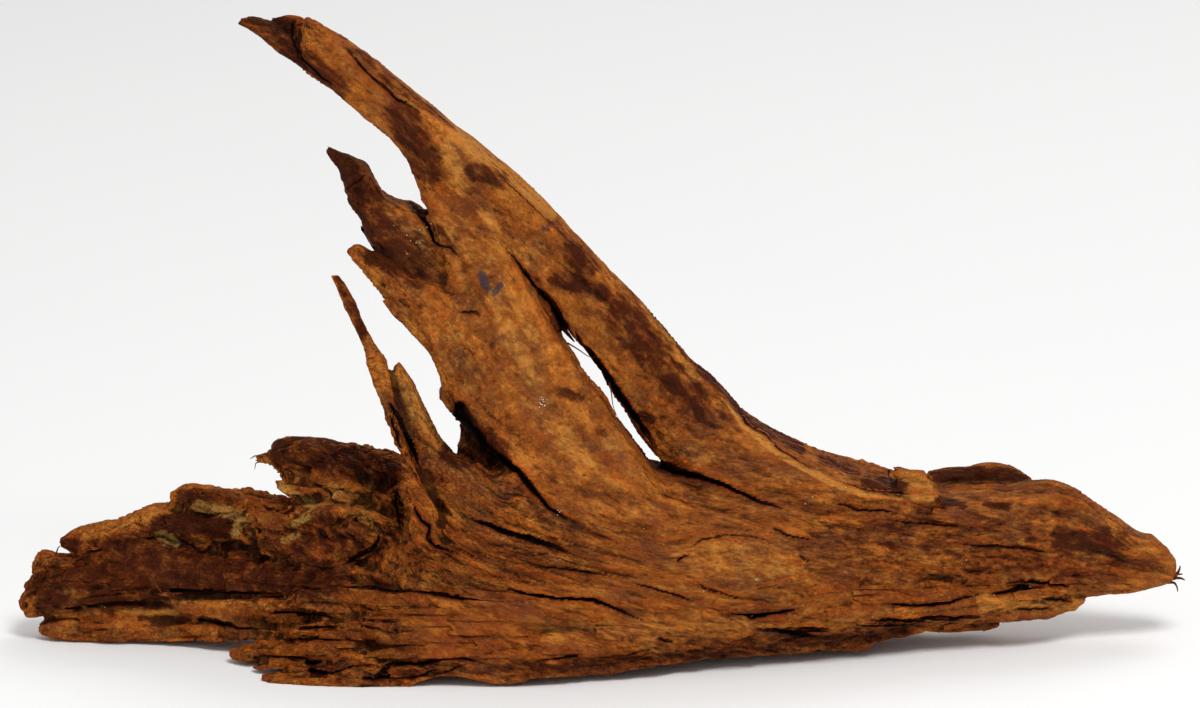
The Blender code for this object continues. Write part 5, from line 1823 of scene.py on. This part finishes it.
@dataclass(frozen=True)
class WeatheredWood:
    """The finish of the wood: brown to ochre fibres, stains, crusts, painted shade in hollows and cracks,
    painted highlights.
    """

    dark: tuple = linear(98, 46, 14)
    middle: tuple = linear(140, 75, 24)
    light: tuple = linear(182, 109, 40)
    ochre: tuple = linear(210, 143, 62)
    purple: tuple = linear(101, 56, 33)
    stain: tuple = linear(64, 29, 12)
    # Tint multiplied over the dark stains and over the patches of painted shade.
    shade: tuple = linear(122, 90, 74)
    grey: tuple = linear(56, 52, 60)
    crust: tuple = linear(178, 139, 72)
    rust: tuple = linear(150, 64, 20)
    # Painted shadow inside the cracks.
    black: tuple = linear(20, 6, 2)
    finish: Finish = Finish(0.62, 0.06, 1.0)
    # Each flake: length, width, offset, steps, thickness, painted shade at its foot and painted highlight on
    # its lip.
    flakes: tuple = (
        (11.0, 5.0, 91.0, 8.0, 0.3, 0.32, 0.1),
        (4.4, 2.4, 97.0, 7.0, 0.17, 0.28, 0.1),
        (2.2, 1.1, 103.0, 6.0, 0.08, 0.22, 0.08),
    )

    def stains(self, sheet: Sheet, effects: Effects, grain: object, tone: object) -> object:
        """Lays the stains over a tone, with the painted highlights and painted shade that share their masks.

        Args:
            sheet: the material's sheet.
            effects: the shared groups.
            grain: the wandering grain.
            tone: the wood's colour.

        Returns:
            The stained colour.
        """
        dark, grey, pale = sheet.parts(sheet.attribute("stain"))
        wear_and_highlight = sheet.parts(sheet.attribute("wear_and_highlight"))[0]
        layers = (
            # Ochre over worn places and painted highlights; a shade tint and the stain colour over dark
            # stains and painted shade.
            (wear_and_highlight, self.ochre, 1.7, 51.0, 0.4, 0.58, "MIX"),
            (dark, self.shade, 3.2, 53.0, 0.3, 0.95, "MULTIPLY"),
            (dark, self.stain, 1.7, 54.0, 0.22, 0.5, "MIX"),
            (grey, self.grey, 1.2, 57.0, 0.22, 0.8, "MIX"),
            (pale, self.crust, 1.4, 59.0, 0.32, 0.7, "MIX"),
        )
        for mask, colour, size, offset, softness, strength, kind in layers:
            edge = {"Size": size, "Offset": offset, "Softness": softness}
            torn = sheet.group(effects.torn, Mask=mask, Grain=grain, **edge)
            tone = sheet.mixed(sheet.maths("MULTIPLY", torn, strength), tone, colour, kind)
        return tone

    def dabs(self, sheet: Sheet, effects: Effects, grain: object, tone: object) -> object:
        """Lays small dabs of other tones over a tone: purple-brown fields, rust, ochre and dark flecks.

        Args:
            sheet: the material's sheet.
            effects: the shared groups.
            grain: the wandering grain.
            tone: the wood's colour.

        Returns:
            The dabbed colour.
        """
        layers = (
            (self.purple, 20.0, 12.0, 61.0, 0.44, 0.64, 0.68),
            (self.rust, 15.0, 8.0, 67.0, 0.47, 0.70, 0.32),
            (self.ochre, 9.0, 5.5, 73.0, 0.50, 0.76, 0.45),
            (self.stain, 5.0, 3.4, 71.0, 0.55, 0.80, 0.5),
            (self.ochre, 3.0, 2.1, 75.0, 0.54, 0.76, 0.4),
            (self.ochre, 1.3, 0.9, 79.0, 0.58, 0.76, 0.35),
            (self.stain, 1.6, 1.0, 83.0, 0.60, 0.76, 0.35),
        )
        for colour, length, width, offset, low, high, strength in layers:
            spots = sheet.fibrous(effects.noise, grain, length, width, offset, 5.0)
            share = sheet.maths("MULTIPLY", sheet.ranged(spots, low, high), strength)
            tone = sheet.mixed(share, tone, colour)
        return tone

    def build(self, effects: Effects) -> Material:
        """Makes the material.

        Args:
            effects: the shared groups.

        Returns:
            The material.
        """
        material, sheet, shader = new_material("weathered_wood")
        grain = sheet.group(effects.wander, Grain=sheet.attribute("grain"), Reach=3.0)
        narrow, middle, wide = sheet.parts(sheet.attribute("hollow"))
        # Painted light and shade: wide rises are painted lighter and wide hollows darker.
        wide_relief_shading = sheet.ranged(wide, -1.2, 1.2, 0.16, -0.16)
        tones = {"Dark": self.dark, "Middle": self.middle, "Light": self.light}
        tone = sheet.group(effects.tones, Grain=grain, Lightness=wide_relief_shading, **tones)
        tone = self.dabs(sheet, effects, grain, tone)
        tone = self.stains(sheet, effects, grain, tone)
        worn = sheet.ranged(sheet.parts(sheet.attribute("wear_and_highlight"))[1], 0.1, 0.8, 1.0, 0.35)
        height = sheet.group(effects.height, Grain=grain, Depth=sheet.maths("MULTIPLY", worn, 0.5))
        # Flake steps: painted shade at the foot of each, a painted highlight on its lip.
        for length, width, offset, steps, thick, foot_shade, lip_light in self.flakes:
            size = {"Length": length, "Width": width, "Offset": offset, "Steps": steps}
            step, foot, lip = sheet.groups(effects.flakes, Grain=grain, **size)
            height = sheet.maths("MULTIPLY_ADD", step, sheet.maths("MULTIPLY", worn, thick), height)
            foot = sheet.maths("MULTIPLY", foot, worn)
            shade = sheet.maths("SUBTRACT", 1.0, sheet.maths("MULTIPLY", foot, foot_shade))
            shade = sheet.maths("ADD", shade, sheet.maths("MULTIPLY", lip, lip_light))
            tone = sheet.vector("MULTIPLY", tone, shade)
        # Painted highlight on narrow ridges, then painted shade in narrow, middle and wide hollows.
        ridge_highlight = sheet.ranged(narrow, -0.02, -0.22, 0.0, 0.45)
        tone = sheet.mixed(ridge_highlight, tone, self.ochre, "SOFT_LIGHT")
        sunk = sheet.ranged(narrow, 0.02, 0.24, 1.0, 0.6)
        sunk = sheet.maths("MULTIPLY", sunk, sheet.ranged(wide, 0.2, 2.4, 1.0, 0.76))
        sunk = sheet.maths("MULTIPLY", sunk, sheet.ranged(middle, 0.06, 0.7, 1.0, 0.65))
        tone = sheet.vector("MULTIPLY", tone, sunk)
        # Cracks: the band beside each is mixed toward the stain colour, and the inside is painted black as
        # shadow.
        distance, half, _ = sheet.parts(sheet.attribute("crack"))
        away = sheet.maths("SUBTRACT", sheet.maths("ABSOLUTE", distance), half)
        real = sheet.ranged(half, 0.08, 0.25)
        beside = sheet.maths("MULTIPLY", sheet.ranged(away, 2.0, 0.0), real)
        tone = sheet.mixed(sheet.maths("MULTIPLY", beside, 0.4), tone, self.stain)
        inside = sheet.maths("MULTIPLY", sheet.ranged(away, 0.15, -0.25), real)
        tone = sheet.mixed(inside, tone, self.black)
        height = sheet.maths("SUBTRACT", height, sheet.maths("MULTIPLY", inside, 0.8))
        self.finish.wired(sheet, shader, tone, height)
        return material


@dataclass(frozen=True)
class PlainFinish:
    """A finish of three tones in short lumps, for the loose fibres and the sand."""

    name: str
    dark: tuple
    middle: tuple
    light: tuple
    finish: Finish
    lump: float = 1.0

    def build(self, effects: Effects) -> Material:
        """Makes the material, on Object coordinates in millimetres.

        Args:
            effects: the shared groups.

        Returns:
            The material.
        """
        material, sheet, shader = new_material(self.name)
        place = sheet.node("ShaderNodeTexCoord", {}).outputs["Object"]
        grain = sheet.vector("MULTIPLY", place, (1000.0 / self.lump,) * 3)
        tones = {"Dark": self.dark, "Middle": self.middle, "Light": self.light}
        tone = sheet.group(effects.tones, Grain=grain, Lightness=0.0, **tones)
        height = sheet.group(effects.height, Grain=grain, Depth=0.2)
        self.finish.wired(sheet, shader, tone, height)
        return material


LOOSE_FIBRE = PlainFinish(
    "loose_fibre", linear(50, 25, 10), linear(96, 50, 20), linear(140, 82, 36), Finish(0.75, 0.06, 0.6)
)
SAND = PlainFinish(
    "sand", linear(196, 170, 136), linear(226, 210, 186), linear(244, 238, 226), Finish(0.45, 0.5, 0.6), 0.1
)


@dataclass(frozen=True)
class Fibre:
    """A loose fibre: drawn points from root to tip, the depth of each, and the radius at the root."""

    line: tuple
    depths: tuple
    radius: float = 0.35


LOOSE_FIBRES = tuple(itertools.starmap(Fibre, (
    (((-14, 148), (-9, 145), (-5, 142), (-1.5, 141.5)), (2, 3, 5, 8), 0.4),
    (((4, 131), (5, 126), (5.5, 121), (7.5, 116)), (4, 5, 6, 8), 0.35),
    (((245, 46.5), (247.5, 48), (249, 50), (249.5, 52)), (46, 46, 45, 44), 1.1),
    (((244, 46), (247.5, 47), (250, 46.8), (251.5, 46)), (46, 46, 46, 46), 1.1),
    (((245, 47.5), (248, 48.4), (250.5, 48.6)), (45, 45, 44), 1.0),
    (((244, 45), (247, 45), (248.2, 43), (248.4, 41)), (46, 45, 44, 44), 0.8),
    (((-145, 97), (-148, 96.5), (-148.5, 93.5)), (27, 27, 26), 0.4),
    (((-145, 99), (-148.5, 99.5), (-150.5, 98)), (28, 28, 27), 0.5),
    (((-45, 124), (-50, 126), (-55, 125)), (6, 8, 9), 0.4),
    (((-234, 57), (-233, 60), (-231.5, 61)), (40, 40, 40), 0.4),
    (((20, 80), (24, 84), (25, 89)), (-14, -14, -12), 0.3),
    (((186, 38), (187, 34), (189, 31)), (26, 26, 27), 0.3),
    (((-193.5, 47.2), (-191, 44), (-188.5, 40.5)), (24, 24, 25), 1.0),
    (((-222.5, 35.3), (-215.2, 28.4), (-211, 26)), (33, 33, 34), 1.1),
)))


def tube(path: np.ndarray, radius: np.ndarray, sides: int) -> tuple[np.ndarray, list[np.ndarray]]:
    """A round section carried along a path: p + r (cos a n + sin a b), closed at both ends.

    Args:
        path: rows of x, y, z.
        radius: of the section at each row.
        sides: points round a section.

    Returns:
        Points and faces.
    """
    tangent = np.gradient(path, axis=0)
    tangent /= np.linalg.norm(tangent, axis=1)[:, None]
    first = np.cross(tangent, [0.3, 0.9, 0.2])
    first /= np.linalg.norm(first, axis=1)[:, None]
    second = np.cross(tangent, first)
    around = np.linspace(0, 2 * math.pi, sides, endpoint=False)[None, :, None]
    ring = np.cos(around) * first[:, None, :] + np.sin(around) * second[:, None, :]
    points = (path[:, None, :] + radius[:, None, None] * ring).reshape(-1, 3)
    return np.vstack([points, path[:1], path[-1:]]), tube_faces(len(path), sides)


@dataclass
class LooseFibres:
    """The hairs that hang in the gaps and stand at the torn ends."""

    fibres: tuple = LOOSE_FIBRES
    sections: int = 16
    sides: int = 6

    def build(self) -> Object:
        """Makes all fibres in one mesh.

        Returns:
            The object.
        """
        tubes = []
        for fibre in self.fibres:
            line = np.column_stack([np.array(fibre.line, float), fibre.depths])
            places = np.linspace(0, len(line) - 1, self.sections)
            knots = np.arange(len(line))
            smooth = np.column_stack([np.interp(places, knots, column) for column in line.T])
            for _ in range(3):
                smooth[1:-1] = (smooth[:-2] + 2 * smooth[1:-1] + smooth[2:]) / 4
            path = SIGHT.real(smooth[:, :2], smooth[:, 2])
            radius = fibre.radius * (1.0 - 0.75 * np.linspace(0, 1, self.sections))
            tubes.append(tube(path, radius, self.sides))
        return add_object("loose_fibres", gathered("loose_fibres", tubes))


@dataclass
class SandGrains:
    """Pale grains of sand on the wood, in the clumps that the photo shows and strewn over the rest.

    A clump is its drawn middle, its spread and its number of grains. A grain is kept where the wood's front
    lies within the catch, in square millimetres.
    """

    clumps: tuple = (
        ((-24.5, 122), 1.2, 22),
        ((-17.5, 75.3), 0.8, 4),
        ((-80, 194), 5.0, 8),
        ((67.5, 47), 0.8, 2),
        ((88, 78), 3.0, 3),
        ((66, 31), 1.0, 3),
        ((-213, 34), 1.0, 2),
        ((170, 44), 2.0, 3),
    )
    strewn: int = 24
    strewn_over: tuple = ((-200, 20), (220, 96))
    size: tuple = (0.14, 0.34)
    proud: float = 0.35
    catch: float = 2.0
    seed: int = 41

    def places(self, rng: np.random.Generator) -> np.ndarray:
        """Drawn points of the grains, seeded."""
        parts = [rng.normal(middle, spread, (count, 2)) for middle, spread, count in self.clumps]
        parts.append(rng.uniform(*self.strewn_over, (self.strewn, 2)))
        return np.vstack(parts)

    def build(self, skin: np.ndarray, normals: np.ndarray) -> Object:
        """Makes all grains in one mesh, each a lumpy ball of twenty faces sunk a little into the wood.

        Args:
            skin: the finished wood's points.
            normals: their normals.

        Returns:
            The object.
        """
        rng = np.random.default_rng(self.seed)
        drawn = self.places(rng)
        front = np.flatnonzero((DepthMap(skin, Side.FRONT).shown(skin, 1.5) > 0.9) & (normals[:, 1] < -0.25))
        seen = SIGHT.drawn(skin[front])
        gap = ((drawn[:, None, :] - seen[None]) ** 2).sum(-1)
        nearest = gap.argmin(axis=1)
        kept = gap[np.arange(len(drawn)), nearest] < self.catch
        ground = front[nearest[kept]]
        golden = (1 + math.sqrt(5)) / 2
        ball = np.array([(0, 1, golden), (0, -1, golden), (0, 1, -golden), (0, -1, -golden)], float)
        ball = np.vstack([np.roll(ball, shift, axis=1) for shift in range(3)]) / math.hypot(1, golden)
        edges = np.linalg.norm(ball[:, None] - ball[None], axis=-1) < 1.2
        triples = np.array(list(itertools.combinations(range(12), 3)))
        faces = triples[(edges[triples, np.roll(triples, 1, axis=1)]).all(axis=1)]
        turn = np.linalg.det(ball[faces])
        faces[turn < 0] = faces[turn < 0][:, ::-1]
        size = rng.uniform(*self.size, len(ground))
        lumps = rng.uniform(0.75, 1.25, (len(ground), 12, 1))
        grains = (ball[None] * lumps + self.proud * normals[ground][:, None]) * size[:, None, None]
        points = skin[ground][:, None] + grains
        corners = (faces[None] + 12 * np.arange(len(ground))[:, None, None]).reshape(-1, 3)
        return add_object("sand_grains", mesh_from("sand_grains", points.reshape(-1, 3), [corners]))


@dataclass
class Studio:
    """The pale floor, the soft lights and the camera."""

    floor_half: float = 16.0
    floor_drop: float = 0.0002
    aim: tuple = (0.0, 0.0, 0.12)
    lights: tuple = (
        ("key", (0.5, -1.5, 2.4), 46.0, 1.0),
        ("fill", (-1.8, -1.4, 0.9), 5.0, 1.6),
        ("rim", (0.9, 1.6, 1.9), 12.0, 1.2),
    )
    floor_tone: tuple = linear(250, 250, 249)
    floor_cloud: tuple = linear(246, 246, 246)
    floor_roughness: float = 0.9
    sky_tone: tuple = linear(255, 255, 255)
    sky_strength: float = 0.5
    sensor: float = 36.0
    view_end: float = 100.0

    def floor(self) -> Object:
        """A large flat floor just under the wood."""
        half, drop = self.floor_half, -self.floor_drop
        corners = [(-half, -half, drop), (half, -half, drop), (half, half, drop), (-half, half, drop)]
        mesh = bpy.data.meshes.new("floor")
        mesh.from_pydata(corners, [], [(0, 1, 2, 3)])
        made = add_object("floor", mesh)
        material, sheet, shader = new_material("pale_floor")
        place = sheet.node("ShaderNodeTexCoord", {}).outputs["Object"]
        cloud = sheet.node("ShaderNodeTexNoise", {"Vector": place, "Scale": 2.0, "Detail": 2.0}).outputs[0]
        tone = sheet.mixed(cloud, self.floor_tone, self.floor_cloud)
        sheet.tree.links.new(tone, shader.inputs["Base Color"])
        shader.inputs["Roughness"].default_value = self.floor_roughness
        mesh.materials.append(material)
        return made

    def light(self, name: str, place: tuple, power: float, size: float) -> None:
        """A square soft light that looks at the wood.

        Args:
            name: name of the light.
            place: where it is, in metres.
            power: in watts.
            size: side of the square, in metres.
        """
        data = bpy.data.lights.new(name, "AREA")
        data.energy = power
        data.size = size
        made = bpy.data.objects.new(name, data)
        made.location = place
        aim = mathutils.Vector(self.aim) - made.location
        made.rotation_euler = aim.to_track_quat("-Z", "Y").to_euler()
        bpy.context.scene.collection.objects.link(made)

    def camera(self) -> None:
        """The camera at the eye that the outlines were drawn for."""
        data = bpy.data.cameras.new("camera")
        data.sensor_width = self.sensor
        data.lens = self.sensor * SIGHT.distance / SIGHT.picture_width
        data.clip_end = self.view_end
        made = bpy.data.objects.new("camera", data)
        eye_y = -SIGHT.distance * math.cos(SIGHT.tilt)
        eye_z = SIGHT.aim_height + SIGHT.distance * math.sin(SIGHT.tilt)
        made.location = to_part(np.array([0.0, eye_y, eye_z]))
        made.rotation_euler = (math.pi / 2 - SIGHT.tilt, 0.0, 0.0)
        bpy.context.scene.collection.objects.link(made)
        bpy.context.scene.camera = made

    def build(self) -> None:
        """Sets up the floor, the sky, the lights and the camera."""
        self.floor()
        world = bpy.data.worlds.new("sky")
        world.use_nodes = True
        background = world.node_tree.nodes["Background"]
        background.inputs["Color"].default_value = self.sky_tone
        background.inputs["Strength"].default_value = self.sky_strength
        bpy.context.scene.world = world
        for light in self.lights:
            self.light(*light)
        self.camera()
        bpy.context.scene.view_settings.view_transform = "Standard"


def dressed(piece: Object, material: Material) -> Object:
    """Gives a piece its finish and seats it on the part.

    Args:
        piece: the piece.
        material: its finish.

    Returns:
        The piece.
    """
    piece.data.materials.clear()
    piece.data.materials.append(material)
    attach(piece, "root")
    triangles = sum(len(polygon.vertices) - 2 for polygon in piece.data.polygons)
    log.info("%s: %d triangles", piece.name, triangles)
    return piece


def main() -> None:
    """Builds the wood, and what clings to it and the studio."""
    logging.basicConfig(level=logging.INFO, format="%(name)s: %(message)s")
    effects, grown = Effects.built(), Grown()
    finish = WeatheredWood().build(effects)
    wood = [dressed(slab, finish) for slab in Wood(grown).build()]
    for slab in wood:
        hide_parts(NODE)
    points = np.vstack([mesh_points(slab.data) for slab in wood])
    normals = np.vstack([mesh_normals(slab.data) for slab in wood])
    dressed(TornPlates(grown).build(points), finish)
    dressed(LooseFibres().build(), LOOSE_FIBRE.build(effects))
    dressed(SandGrains().build(points, normals), SAND.build(effects))
    Studio().build()


if __name__ == "__main__":
    main()
